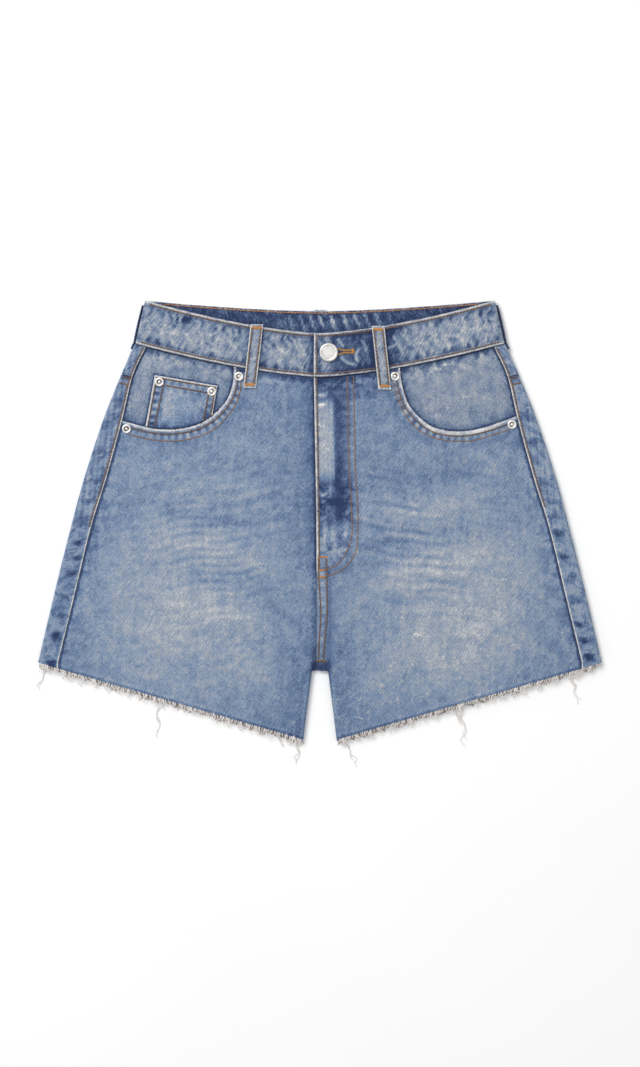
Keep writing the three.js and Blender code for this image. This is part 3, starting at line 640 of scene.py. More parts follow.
# Sizes of the weave. Its threads are 0.4 mm thick and its ribs 0.9 mm apart, a pixel or less, so its grain,
# uneven warp, ribs and the strokes along them are drawn coarser, to show
GRAIN = 0.0017
STREAK = 0.0035
STROKE = 0.0016
TWILL = 0.0024
RIB_TURN = math.radians(32)
WAVE_UNIT = 2 * math.pi / 20  # the width of one wave of the wave texture at scale 1
WEAVE_RELIEF = 0.0003

# Sewing thread's plies are 0.3 mm long and bare yarn's slubs 1 mm. Both are drawn coarser, to show
SEWING_PLY = 0.0009
BRIGHT_SLUB = 0.0015
GREY_SLUB = 0.004
THREAD_SOIL = 0.012
THREAD_RELIEF = 0.0002

# Nickel is rubbed in patches of 5 mm by tumbling, and nearly smooth
PLATE_RUB = 0.005
PLATE_RELIEF = 0.0001


def washed_denim(name, colours=WASH_COLOURS, grain=0.42, stroke=0.24):
    """Cotton twill, indigo warp over white weft, stonewashed after sewing.

    Washing takes the dye off all that stands proud, so the seams' ridges are nearly white and the hollows
    beside them stay blue and are painted darker still with shade. The cloth is matt, with a faint nap.
    """
    material, tree = new_material(name)
    cloth = add_node(tree, "Attribute", attribute_name="cloth").outputs["Vector"]
    # The wash trait carries the stonewash's tone and, in places, painted shade: under edges, beside loops and
    # in the crotch
    read = {
        trait: add_node(tree, "Attribute", attribute_name=trait).outputs["Fac"]
        for trait in ("wash_and_shade", "mottle", "crackle", "ridge", "painted_shade_line")
    }
    tall = add_node(tree, "Mapping", {"Vector": cloth, "Scale": (1, 0.07, 1)}).outputs["Vector"]
    ribbed = add_node(tree, "Mapping", {"Vector": cloth, "Rotation": (0, 0, RIB_TURN)}).outputs["Vector"]
    along_rib = add_node(tree, "Mapping", {"Vector": ribbed, "Scale": (1, 0.2, 1)}).outputs["Vector"]
    clouds = add_node(tree, "TexNoise", {"Vector": cloth, "Scale": 1 / CLOUD, "Detail": 3})
    streaks = add_node(tree, "TexNoise", {"Vector": tall, "Scale": 1 / STREAK, "Detail": 2})
    grains = add_node(tree, "TexNoise", {"Vector": cloth, "Scale": 1 / GRAIN, "Detail": 2})
    strokes = add_node(tree, "TexNoise", {"Vector": along_rib, "Scale": 1 / STROKE, "Detail": 2})
    ribs = add_node(tree, "TexWave", {
        "Vector": ribbed,
        "Scale": WAVE_UNIT / TWILL,
        "Distortion": 2.6,
        "Detail": 2,
        "Detail Scale": 1.5,
    })

    # Stone blotches: warped cells with a dark middle, broken up by a finer noise
    warp = add_node(tree, "TexNoise", {"Vector": cloth, "Scale": 1 / WARP, "Detail": 2})
    pushed = {0: warp.outputs["Color"], 1: (WARP_REACH, WARP_REACH, 0), 2: cloth}
    bent = add_node(tree, "VectorMath", pushed, operation="MULTIPLY_ADD")
    flat_cells = add_node(tree, "Mapping", {
        "Vector": bent.outputs["Vector"],
        "Rotation": (0, 0, 0.35),
        "Scale": (0.72, 1.1, 1),
    })
    cells = add_node(
        tree, "TexVoronoi", {"Vector": flat_cells.outputs["Vector"], "Scale": 1 / CELL, "Smoothness": 0.35},
        feature="SMOOTH_F1",
    )
    cell = add_node(
        tree, "MapRange", {"Value": cells.outputs["Distance"], "From Min": 0.2, "From Max": 0.52},
        interpolation_type="SMOOTHSTEP",
    )
    blotches = add_node(
        tree, "TexNoise",
        {"Vector": bent.outputs["Vector"], "Scale": 1 / BLOTCH, "Detail": 4, "Roughness": 0.62},
    )
    blotch = add_node(
        tree, "MapRange", {"Value": blotches.outputs["Fac"], "From Min": 0.42, "From Max": 0.56},
        interpolation_type="SMOOTHSTEP",
    )
    spotted = {0: cell.outputs["Result"], 1: 0.3, 2: blotch.outputs["Result"]}
    stone = add_node(tree, "Math", spotted, operation="MULTIPLY_ADD")
    half_stone = add_node(tree, "Math", {0: stone.outputs[0], 1: 0.77}, operation="MULTIPLY")

    # Crinkles: thin pale lines, broken off in patches
    wander = add_node(tree, "TexNoise", {
        "Vector": cloth,
        "Scale": 1 / CRINKLE,
        "Detail": 1.5,
        "Roughness": 0.5,
    })
    off_line = add_node(tree, "Math", {0: wander.outputs["Fac"], 1: 0.5}, operation="SUBTRACT")
    from_line = add_node(tree, "Math", {0: off_line.outputs[0]}, operation="ABSOLUTE")
    line = add_node(
        tree, "MapRange",
        {
            "Value": from_line.outputs[0],
            "From Min": 0.0,
            "From Max": CRINKLE_BREADTH,
            "To Min": 1.0,
            "To Max": 0.0,
        },
        interpolation_type="SMOOTHSTEP",
    )
    patches = add_node(tree, "TexNoise", {"Vector": ribbed, "Scale": 1 / CRINKLE_PATCH, "Detail": 3})
    patch = add_node(
        tree, "MapRange", {"Value": patches.outputs["Fac"], "From Min": 0.45, "From Max": 0.6},
        interpolation_type="SMOOTHSTEP",
    )
    crinkle = add_node(
        tree, "Math", {0: line.outputs["Result"], 1: patch.outputs["Result"]}, operation="MULTIPLY",
    )
    layers = (
        (clouds.outputs["Fac"], 0.1, 0.5),
        (streaks.outputs["Fac"], 0.16, 0.5),
        (grains.outputs["Fac"], grain, 0.5),
        (strokes.outputs["Fac"], stroke, 0.5),
        (ribs.outputs["Fac"], 0.06, 0.5),
        (half_stone.outputs[0], read["mottle"], 0.7),
        (crinkle.outputs[0], read["crackle"], 0.1),
    )
    tone = read["wash_and_shade"]
    for pattern, amount, middle in layers:
        centred = add_node(tree, "Math", {0: pattern, 1: middle}, operation="SUBTRACT").outputs[0]
        scaled = {0: centred, 1: amount, 2: tone}
        tone = add_node(tree, "Math", scaled, operation="MULTIPLY_ADD").outputs[0]

    # Seams: painted shade in the groove beside one, worn nearly white on its ridge, both with ragged edges
    wear = add_node(tree, "TexNoise", {"Vector": cloth, "Scale": 1 / WEAR, "Detail": 3})
    ragged = add_node(
        tree, "MapRange",
        {"Value": wear.outputs["Fac"], "From Min": 0.3, "From Max": 0.7, "To Min": -0.6, "To Max": 1.1},
    )
    patchy = add_node(tree, "TexNoise", {"Vector": cloth, "Scale": 1 / WEAR_PATCH, "Detail": 2})
    amount = add_node(
        tree, "MapRange",
        {"Value": patchy.outputs["Fac"], "From Min": 0.35, "From Max": 0.6, "To Min": 0.65, "To Max": 0.98},
    )
    edges = (
        ("painted_shade_line", 0.6, 2.4, 0.04),
        ("ridge", 1.4, 2.8, 0.94),
    )
    for trait, full, gone, wear_and_shade_tone in edges:
        distance = add_node(tree, "Math", {0: read[trait], 1: ragged.outputs["Result"]}, operation="ADD")
        near = add_node(
            tree, "MapRange",
            {"Value": distance.outputs[0], "From Min": full, "From Max": gone, "To Min": 1.0, "To Max": 0.0},
            interpolation_type="SMOOTHSTEP",
        )
        share = add_node(
            tree, "Math", {0: near.outputs["Result"], 1: amount.outputs["Result"]}, operation="MULTIPLY",
        )
        tone = add_node(
            tree, "MapRange", {"Value": share.outputs[0], "To Min": tone, "To Max": wear_and_shade_tone},
        ).outputs["Result"]
    weave = add_node(tree, "Math", {0: strokes.outputs["Fac"], 1: ribs.outputs["Fac"]}, operation="ADD")
    height = add_node(
        tree, "Math", {0: crinkle.outputs[0], 1: 2.2, 2: weave.outputs[0]}, operation="MULTIPLY_ADD",
    )
    relief = add_node(tree, "Bump", {"Height": height.outputs[0], "Strength": 0.6, "Distance": WEAVE_RELIEF})
    colour = add_node(tree, "ValToRGB", {"Fac": tone}, colours)
    shader = add_node(tree, "BsdfPrincipled", {
        "Base Color": colour.outputs["Color"],
        "Roughness": 0.88,
        "Specular IOR Level": 0.25,
        "Sheen Weight": 0.15,
        "Sheen Roughness": 0.5,
        "Normal": relief.outputs["Normal"],
    })
    add_node(tree, "OutputMaterial", {"Surface": shader.outputs["BSDF"]})
    return material


def spun_thread(name, dark, light, pitch=SEWING_PLY, roughness=0.75):
    """Spun thread: plies twisted together, with a painted highlight where they stand out and painted shade
    between them.
    """
    material, tree = new_material(name)
    place = add_node(tree, "TexCoord").outputs["Object"]
    plies = add_node(tree, "TexNoise", {"Vector": place, "Scale": 1 / pitch, "Detail": 2})
    darkening = add_node(tree, "TexNoise", {"Vector": place, "Scale": 1 / THREAD_SOIL, "Detail": 2})
    tone = add_node(
        tree, "Math", {0: darkening.outputs["Fac"], 1: 0.6, 2: plies.outputs["Fac"]}, operation="MULTIPLY_ADD",
    )
    spread = add_node(tree, "MapRange", {"Value": tone.outputs[0], "From Min": 0.5, "From Max": 1.1})
    relief = add_node(tree, "Bump", {
        "Height": plies.outputs["Fac"],
        "Strength": 0.4,
        "Distance": THREAD_RELIEF,
    })
    colour = add_node(tree, "ValToRGB", {"Fac": spread.outputs["Result"]}, ((0.0, dark), (1.0, light)))
    shader = add_node(tree, "BsdfPrincipled", {
        "Base Color": colour.outputs["Color"],
        "Roughness": roughness,
        "Normal": relief.outputs["Normal"],
    })
    add_node(tree, "OutputMaterial", {"Surface": shader.outputs["BSDF"]})
    return material


def plated_zinc(name, dark, light, darkening):
    """Die-cast zinc with a tumbled nickel plate: pale satin silver, darkened with painted shade in the
    grooves.
    """
    material, tree = new_material(name)
    place = add_node(tree, "TexCoord").outputs["Object"]
    painted_groove_shade = add_node(tree, "Attribute", attribute_name="painted_groove_shade").outputs["Fac"]
    wear = add_node(tree, "TexNoise", {"Vector": place, "Scale": 1 / PLATE_RUB, "Detail": 3})
    rough = add_node(
        tree, "MapRange",
        {"Value": wear.outputs["Fac"], "From Min": 0.3, "From Max": 0.7, "To Min": 0.34, "To Max": 0.46},
    )
    # The rubbed plate's tone, darkened towards the darkest grey by painted shade in the grooves
    rub_and_painted_shade = add_node(tree, "Math", {0: painted_groove_shade, 1: -0.42, 2: wear.outputs["Fac"]}, operation="MULTIPLY_ADD")
    relief = add_node(tree, "Bump", {
        "Height": wear.outputs["Fac"],
        "Strength": 0.08,
        "Distance": PLATE_RELIEF,
    })
    colour = add_node(
        tree, "ValToRGB", {"Fac": rub_and_painted_shade.outputs[0]}, ((0.0, darkening), (0.35, dark), (0.65, light)),
    )
    shader = add_node(tree, "BsdfPrincipled", {
        "Base Color": colour.outputs["Color"],
        "Metallic": 1.0,
        "Roughness": rough.outputs["Result"],
        "Normal": relief.outputs["Normal"],
    })
    add_node(tree, "OutputMaterial", {"Surface": shader.outputs["BSDF"]})
    return material


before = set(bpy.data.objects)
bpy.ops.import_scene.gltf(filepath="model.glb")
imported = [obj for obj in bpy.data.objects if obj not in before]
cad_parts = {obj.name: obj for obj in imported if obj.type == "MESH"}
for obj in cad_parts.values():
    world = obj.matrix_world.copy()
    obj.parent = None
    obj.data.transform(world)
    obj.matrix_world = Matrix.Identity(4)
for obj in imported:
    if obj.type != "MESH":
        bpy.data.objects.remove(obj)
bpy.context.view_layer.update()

DENIM = washed_denim("washed_denim_twill")
FACING_DENIM = washed_denim("washed_denim_facing", GREY_WASH_COLOURS)
BAND_DENIM = washed_denim("washed_denim_waistband", GREY_WASH_COLOURS, grain=0.52, stroke=0.64)
TAN_THREAD = spun_thread("tan_polyester_topstitch", "#4c382d", "#8d6c50")
FINE_THREAD = spun_thread("light_tan_polyester_topstitch", "#6f5138", "#a87e55")
ORANGE_THREAD = spun_thread("orange_polyester_topstitch", "#a86a2a", "#d99a4c")
BUTTONHOLE_THREAD = spun_thread("brown_polyester_buttonhole_gimp", "#8a6136", "#b98a52")
BARE_COTTON = spun_thread("bare_cotton_weft", "#d9d3d0", "#fdf9f6", BRIGHT_SLUB, roughness=0.9)
# The back hem's fringe: the same cotton, painted greyer for the shade of the front layer above it
SHADED_COTTON = spun_thread("shade_painted_cotton_weft", "#a8a09b", "#e0d8d3", GREY_SLUB, roughness=0.9)
# Its darkest grey is painted shade for the grooves
SILVER_METAL = plated_zinc("nickel_plated_zinc", "#e6e3e0", "#f7f5f2", "#5c5a58")


# The cut pieces

# Shares across a front from the inner leg to the side seam, and levels down it, closer at the cut edges
FRONT_SHARES = np.unique(np.concatenate([np.linspace(0, 1, 112), 1 - np.array([0.6, 1.4, 2.4]) / 200]))[1:]
TOP_LEVELS = np.array([0, 0.002, 0.005, 0.009])
CROTCH_LEVELS = np.array([0.775, 0.78, 0.785])
BODY_LEVELS = np.concatenate([
    TOP_LEVELS,
    np.linspace(0.0145, CROTCH_LEVEL, 124),
    CROTCH_LEVELS,
    np.linspace(LEG_LEVEL, 0.988, 34),
    [0.992, 0.995, 0.998, 1.0],
])
FACING_LEVELS = np.concatenate([TOP_LEVELS, np.linspace(0.0145, 0.36, 56)])
JUST_PAST = 6

# Worn areas, the same on both sides: middle x and y, half width, half height, and how flat the middle is.
# A back pocket's is placed from its own middle
WORN_AREAS = {
    "thigh": (128, -78, 74, 88, 1.2),
    "leg": (118, -40, 92, 120, 1.5),
    "lap": (84, 2, 72, 66, 1.4),
    "seat": (120, -60, 80, 110, 1.2),
    "back pocket": (0, 0, 40, 46, 1),
}

# Pale knuckles of cloth that stand out beside the fly's lap: x, y, half width, half height and how pale
FLY_MARKS = (
    (1.5, 127.5, 5, 1.7, 0.55),
    (1.5, 119, 5, 1.7, 0.5),
    (2.5, 36, 4.5, 1.4, 0.6),
    (2.5, 29.5, 4.5, 1.4, 0.6),
    (7, 23, 1.5, 5, 0.45),
    (4.6, 2, 2, 11, 0.4),
    (12.7, -3, 1.7, 9, 0.34),
    (23.7, 0, 1.7, 8, 0.26),
    (22.5, 18, 4, 1.3, 0.34),
    (10, 42, 1.4, 8, 0.2),
)

# The two curved rows that hold the fly's facing
FLY_ROWS = (
    curve((
        (25.3, 145), (26.7, 68.2), (28.9, 25.6), (29.6, 0.6),
        (25.3, -15.1), (16.7, -28), (5.6, -33), (-1.6, -33.8),
    )),
    curve((
        (31.1, 145), (32.4, 68.2), (35, 25.6), (34.5, -5.8),
        (32.4, -17.9), (23.9, -30.8), (11.1, -38), (-1.6, -40.6),
    )),
)

sheets = {}


def wear_in(area, x, y):
    """1 in the middle of a worn area, falling softly to 0 round it."""
    middle_x, middle_y, half_width, half_height, flatness = WORN_AREAS[area]
    reach = ((np.abs(x) - middle_x) / half_width) ** 2 + ((y - middle_y) / half_height) ** 2
    return np.exp(-reach ** flatness)


def leg_part(y):
    """0 above the crotch and 1 along the inner leg."""
    return 1 - smooth(y, -136, -128)


def front_plan(side, levels):
    """Plan of a front: x and y of each grid point, its half width from the inner leg, and its drop."""
    level = levels[:, None]
    start_x = start_at(FRONT_START, level)[0]
    offset, drop = inner_columns(level)
    first = offset[:, -1:] + start_x
    last = seam_at(level) - SEAM / 2
    half = np.concatenate([start_x + offset, mix(first, last, FRONT_SHARES)], axis=1)
    drop = np.concatenate([drop, np.zeros((len(levels), len(FRONT_SHARES)))], axis=1)
    pull = column_at(CENTRE_FRONT, 1, level_y(FRONT_START, level, half)) * np.maximum(0, 1 - half / LAP_REACH)
    x = side * half + pull * (1 - leg_share(level))
    y = level_y(FRONT_START, level, np.abs(x))
    return x, y, half - start_x, drop


def trim(x, y, line, outline, keep_inside):
    """Cuts a plan along a line, moves the points just past it onto it, and says which faces stay."""
    enclosed = inside(x, y, outline)
    stays = enclosed if keep_inside else ~enclosed
    keep = stays[:-1, :-1] | stays[:-1, 1:] | stays[1:, 1:] | stays[1:, :-1]
    distance, _, near_x, near_y = nearest(x, y, line)
    move = ~stays & (distance < JUST_PAST)
    return np.where(move, near_x, x), np.where(move, near_y, y), keep


def front_details(side, x, y, inner):
    """The small relief of a front, and what its wash depends on, from the distance to its seams."""
    from_mouth, mouth_run, _, _ = nearest(x, y, mouth_curve(side))
    below_band = edge_y(FRONT_BOTTOM, np.abs(x)) - y
    from_seam = (column_at(SIDE, SIDE_SEAM, y) - np.abs(x)) * SEAM_LEAN
    from_hem = (y - level_y(FRONT_START, 1.0, np.abs(x))) * HEM_LEAN
    from_lap = x - column_at(CENTRE_FRONT, 1, y)
    fly_part = smooth(y, -42, -30)
    leg, lap_folds = wear_in("leg", x, y), wear_in("lap", x, y)
    wash_and_shade = 0.5 + (0.125 + 0.015 * side) * wear_in("thigh", x, y) + (0.075 + 0.01 * side) * leg
    relief = 0.13 * uneven(x, y, 1.0 + side, 8) + 0.08 * uneven(x, y, 4.0 + side, 4.5)
    lines = whiskers(x, y, -0.13 * side, 1.3 + side)
    lines = lines - 0.4 * np.maximum(lines, 0)
    wash_and_shade = wash_and_shade + lines * (0.05 * leg + 0.1 * lap_folds)
    relief = relief + lines * (0.05 * leg + 0.16 * lap_folds)
    for crease in CREASES:
        wash_and_shade = wash_and_shade + 0.17 * fold_shape(crease, x, y)
    for fold in FRONT_FOLDS:
        shape = fold_shape(fold, x, y)
        relief = relief + shape
        wash_and_shade = wash_and_shade + 0.16 * shape

    # Scallops under the waistband, between the rows round the pocket, and beside the side seam
    scallop = puckers(x, 9.4, 1.7 * side)
    band_shade = bump(below_band, 1.5, 4.5 + 2.4 * scallop)
    band_bars = scallop * bump(below_band, 9, 5)
    mouth_bars = puckers(mouth_run, 6.6, 2.1 * side) * bump(from_mouth, 6.6, 3.0)
    seam_bars = puckers(y, 12, 0.9 * side) * bump(from_seam, 4, 6)
    relief = relief + 0.22 * band_bars + 0.24 * mouth_bars + 0.14 * seam_bars
    wash_and_shade = wash_and_shade + 0.06 * band_bars + 0.26 * mouth_bars + 0.05 * seam_bars
    wash_and_shade = wash_and_shade + 0.14 * bump(below_band, 7.5 + 2 * scallop, 2.6) - 0.3 * band_shade
    wash_and_shade = wash_and_shade - 0.05 * bump(from_seam, 2, 5)
    # Painted shade along the rows round the pocket's mouth
    wash_and_shade = wash_and_shade - 0.07 * bump(from_mouth, 13.5, 3) - 0.06 * bump(from_mouth, 4.4, 1.2)

    # The rolled edge of the pocket's mouth, the inner leg and the cut hem
    relief = relief + 0.34 * bump(from_mouth, 2.2, 1.8)
    near_inner = (1 - smooth(inner, 4, 62)) * smooth(y, -60, -125)
    wash_and_shade = wash_and_shade - (0.045 - 0.025 * side) * near_inner
    relief = relief + 0.22 * bump(from_hem, 1.3, 1.2) - 0.1 * bump(from_hem, 4, 1.4)
    wash_and_shade = wash_and_shade - 0.2 * bump(from_hem, 0.6, 1.9)
    wash_and_shade = wash_and_shade + 0.06 * bump(from_hem, 3.6, 1.0) - 0.03 * bump(from_hem, 7, 5)
    wash_and_shade = wash_and_shade + (0.1 * bump(inner, 3.4, 1.1) - 0.12 * bump(inner, 5.5, 0.9)) * leg_part(y)
    mottle = 0.1 + 0.12 * bump(below_band, 4, 9) + 0.1 * bump(from_seam, 0, 12)
    crackle = 0.13 + 0.07 * side + 0.03 * between(x, 30, 90, 190, 225) + 0.16 * near_inner
    worn_through = 0.45 * between(mouth_run, 52, 66, 120, 134) if side > 0 else 0
    # The dark line beside the side seam and under the waistband is painted shade
    ridge, painted_shade_line = from_mouth * (0.88 - worn_through), np.minimum(from_seam - 0.8, below_band + 0.1)

    if side > 0:
        # The left front's fly: pale where it lay over the zip's tape, blue in the hollow beside that
        strip = between(from_lap, 2.6, 4, 17, 19) * between(y, 40, 60, 116, 128)
        hollow = bump(x, 17.5, 5.2) * between(y, -2, 20, 118, 132)
        dark_foot = bump(y, 30, 18) * (1 - smooth(x, 26, 38))
        dark_head = bump(y, 136, 12) * (1 - smooth(x, 42, 66))
        pale_foot = bump(y, -12, 13) * (1 - smooth(x, 22, 30))
        rope = puckers(y, 9, 3.3) * bump(from_lap, 5, 4) * fly_part
        j_distance, j_run, _, _ = nearest(x, y, FLY_ROWS[0])
        j_bars = puckers(j_run, 8, 0.4) * bump(j_distance, 2.5, 3.5)
        relief = relief + 0.4 * bump(from_lap, 2.4, 1.7) * fly_part
        relief = relief + 0.2 * rope + 0.14 * j_bars - 0.3 * hollow
        marks = sum(
            amount * bump(x, mark_x, half_width) * bump(y - 0.1 * (x - mark_x) ** 2, mark_y, half_height)
            for mark_x, mark_y, half_width, half_height, amount in FLY_MARKS
        )
        strip_lines = puckers(from_lap + 0.02 * y, 3.4, 1.9) * bump(x, 7, 9) * smooth(y, -40, -10)
        wash_and_shade = wash_and_shade + (0.31 + 0.05 * strip_lines) * strip - 0.3 * hollow
        wash_and_shade = wash_and_shade + 0.06 * rope + 0.08 * j_bars + marks + 0.05 * strip_lines
        wash_and_shade = wash_and_shade - 0.1 * fly_part * smooth(from_lap, 2.6, 4) * (1 - smooth(x, 26, 34))
        wash_and_shade = wash_and_shade - 0.24 * dark_foot - 0.2 * dark_head + 0.1 * pale_foot * (1 - strip)
        relief = relief + 0.6 * marks
        mottle = mottle + (0.34 * dark_foot + 0.16 * dark_head) * (1 - strip) + 0.3 * pale_foot
        ridge = np.minimum(ridge, np.where(y > -36, np.abs(from_lap), NO_SEAM))
    else:
        # The right front in the shade of the lap
        beside = np.exp(-np.abs(from_lap) / 5)
        wash_and_shade = wash_and_shade - (0.24 * beside + 0.06 * np.exp(-np.abs(from_lap) / 18)) * fly_part
        mottle = mottle + 0.1 * beside
        painted_shade_line = np.minimum(painted_shade_line, np.where(y > -36, np.abs(from_lap) * 0.7, NO_SEAM))

    # Below the fly the seam is a flat-felled strip between two rows
    below_fly = 1 - smooth(y, -36, -28)
    seam_strip = bump(x, 1.5, 3.4) * below_fly * smooth(y, -128, -118)
    relief = relief + 0.35 * seam_strip
    wash_and_shade = wash_and_shade + (0.12 * puckers(y, 8.4, 1.2) + 0.05) * seam_strip
    wash_and_shade = wash_and_shade - 0.16 * bump(np.abs(x - 1.5), 7, 2.5) * below_fly
    # Painted shade in the trench where the legs part at the crotch
    wash_and_shade = wash_and_shade - 0.42 * bump(y, -124, 6) * (1 - smooth(np.abs(x), 6, 11))
    traits = {
        "wash_and_shade": (wash_and_shade, wash_and_shade + 0.2),
        "mottle": mottle,
        "crackle": crackle,
        "ridge": ridge,
        "painted_shade_line": painted_shade_line,
    }
    return relief, traits


def make_front(name, side):
    """A front panel, cut out along its pocket's mouth. The left one laps over the right with the fly."""
    x, y, inner, drop = front_plan(side, BODY_LEVELS)
    line = mouth_curve(side)
    x, y, keep = trim(x, y, line, mouth_outline(side, line), keep_inside=False)
    relief, traits = front_details(side, x, y, inner)
    top = front_height(x, y, side) + relief * (1 - drop)
    outer = np.stack([x, y, mix(top, LEG_MIDDLE + SEAM / 2, drop)], axis=2)
    traits["cloth"] = cloth_place(x, y, 0.31 * side)
    sheets[name] = sheet_mesh(name, outer, CLOTH, traits, UP, DENIM, keep)


def make_facing(name, side):
    """The denim that shows inside a pocket's mouth, one layer below the front."""
    x, y, _, _ = front_plan(side, FACING_LEVELS)
    line = mouth_curve(side, FACING_SPREAD)
    x, y, keep = trim(x, y, line, mouth_outline(side, line), keep_inside=True)
    from_mouth = nearest(x, y, mouth_curve(side))[0]
    below_band = edge_y(FRONT_BOTTOM, np.abs(x)) - y
    from_seam = (column_at(SIDE, SIDE_SEAM, y) - np.abs(x)) * SEAM_LEAN
    relief = 0.14 * uneven(x, y, 2.2 * side, 8) + 0.16 * puckers(x, 7.8, side) * bump(below_band, 8, 6)
    scallop = puckers(x, 9, side)
    # Painted shade under the waistband's edge and under the mouth's edge, and darker beside the side seam
    wash_and_shade = 0.59 - 0.24 * bump(below_band, 1, 4.5 + 2 * scallop) - 0.2 * bump(from_mouth, 0, 7)
    wash_and_shade = wash_and_shade - 0.1 * bump(from_seam, 0, 6) + 0.1 * bump(below_band, 7 + 2 * scallop, 3)
    wash_and_shade = wash_and_shade + 0.03 * uneven(x, y, 0.4, 12)
    # Painted shade lines under the mouth, under the waistband and beside the side seam
    painted_shade_line = np.minimum(np.minimum(from_mouth * 0.7, below_band + 0.1), from_seam - 0.4)
    if side < 0:
        from_coin = nearest(x, y, coin_outline())[0]
        # Painted shade round the coin pocket's edges
        painted_shade_line = np.minimum(painted_shade_line, from_coin * 0.9)
        wash_and_shade = wash_and_shade - 0.12 * bump(from_coin, 0, 5)
    traits = {
        "wash_and_shade": wash_and_shade,
        "mottle": 0.1 + 0.2 * bump(below_band, 5, 8),
        "crackle": 0.2 + 0.08 * side,
        "ridge": NO_SEAM,
        "painted_shade_line": painted_shade_line,
        "cloth": cloth_place(x, y, 0.57 * side),
    }
    z = front_height(x, y, side) - CLOTH - SEAM + relief
    outer = np.stack([x, y, z], axis=2)
    sheets[name] = sheet_mesh(name, outer, CLOTH, traits, UP, FACING_DENIM, keep)


def crossing(a, b, line):
    """How far along a line, as a share, it meets the straight from a to b."""
    a, b = np.array(a, float), np.array(b, float)
    way = b - a
    beside = (line[:, 0] - a[0]) * way[1] - (line[:, 1] - a[1]) * way[0]
    k = int(np.nonzero(beside[:-1] * beside[1:] < 0)[0][0])
    share = beside[k] / (beside[k] - beside[k + 1])
    return (k + share) / (len(line) - 1)


def on_line(line, share):
    """Points of a line at shares of its length in steps."""
    place = np.asarray(share) * (len(line) - 1)
    return np.stack([np.interp(place, np.arange(len(line)), line[:, k]) for k in range(2)], axis=-1)


def coin_grid(across=40, down=28):
    """The coin pocket's plan, ruled from its top edge down to the mouth's edge."""
    line = mouth_curve(-1, COIN_SHRINK)
    outer_share = crossing(*COIN_SIDES[0], line)
    inner_share = crossing(*COIN_SIDES[1], line)
    s = np.linspace(0, 1, across)
    top = mix(np.array(COIN_TOP[0]), np.array(COIN_TOP[1]), s[:, None])
    foot = on_line(line, mix(outer_share, inner_share, s))
    r = np.linspace(0, 1, down)[:, None, None]
    return mix(top[None], foot[None], r)


def coin_outline():
    """The edges of the coin pocket that show: one side, the top and the other side."""
    plan = coin_grid()
    return np.concatenate([plan[::-1, 0], plan[0], plan[:, -1]])


def make_coin_pocket():
    """A small pocket on the right facing, with its foot under the front pocket's mouth."""
    plan = coin_grid()
    x, y = plan[..., 0], plan[..., 1]
    edge, run, _, _ = nearest(x, y, coin_outline())
    from_mouth = nearest(x, y, mouth_curve(-1))[0]
    bars = puckers(run, 6.8, 0.5) * bump(edge, 5, 2.6)
    relief = 0.25 * bump(edge, 1.5, 1.4) + 0.2 * bars + 0.12 * uneven(x, y, 5.0, 8)
    # Painted shade under the front pocket's mouth, which lies over this pocket's foot
    wash_and_shade = 0.6 + 0.36 * bars - 0.24 * bump(from_mouth, 0, 8) + 0.05 * uneven(x, y, 2.0, 14)
    wash_and_shade = wash_and_shade - 0.08 * bump(edge, 5, 3) + 0.07 * bump(edge, 13.5, 2.2)
    wash_and_shade = wash_and_shade - (0.1 + 0.1 * puckers(run, 8.2, 1.9)) * bump(edge, 10.5, 2.2)
    traits = {
        "wash_and_shade": wash_and_shade,
        "mottle": 0.18,
        "crackle": 0.14,
        "ridge": edge * 1.3,
        # Painted shade line under the front pocket's mouth
        "painted_shade_line": from_mouth * 0.6,
        "cloth": cloth_place(x, y, 0.83),
    }
    outer = np.stack([x, y, front_height(x, y, -1) + relief], axis=2)
    sheets["coin_pocket_cloth"] = sheet_mesh("coin_pocket_cloth", outer, CLOTH, traits, UP, DENIM)


def make_both_sides(makers):
    """Makes each kind of piece for the right and the left, in place of its solid."""
    for side_name, side in SIDES.items():
        for kind, make in makers.items():
            node = f"{kind}_{side_name}"
            make(f"{node}_cloth", side)
            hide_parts(node)


make_both_sides({"front": make_front, "pocket_facing": make_facing})
make_coin_pocket()
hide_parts("coin_pocket")


# The rest of the garment

BACK_LOWER_LEVELS = np.concatenate([
    [YOKE_LEVEL, 0.096, 0.099, 0.103],
    np.linspace(0.11, CROTCH_LEVEL, 84),
    CROTCH_LEVELS,
    np.linspace(LEG_LEVEL, 0.988, 26),
    [0.992, 0.996, 1.0],
])
YOKE_LEVELS = np.concatenate([TOP_LEVELS, np.linspace(0.0145, 0.084, 14), [0.088, 0.091, YOKE_LEVEL]])
STRIP_STEPS = np.concatenate([[0, 0.03, 0.08, 0.14], np.linspace(0.22, 1, 9)])


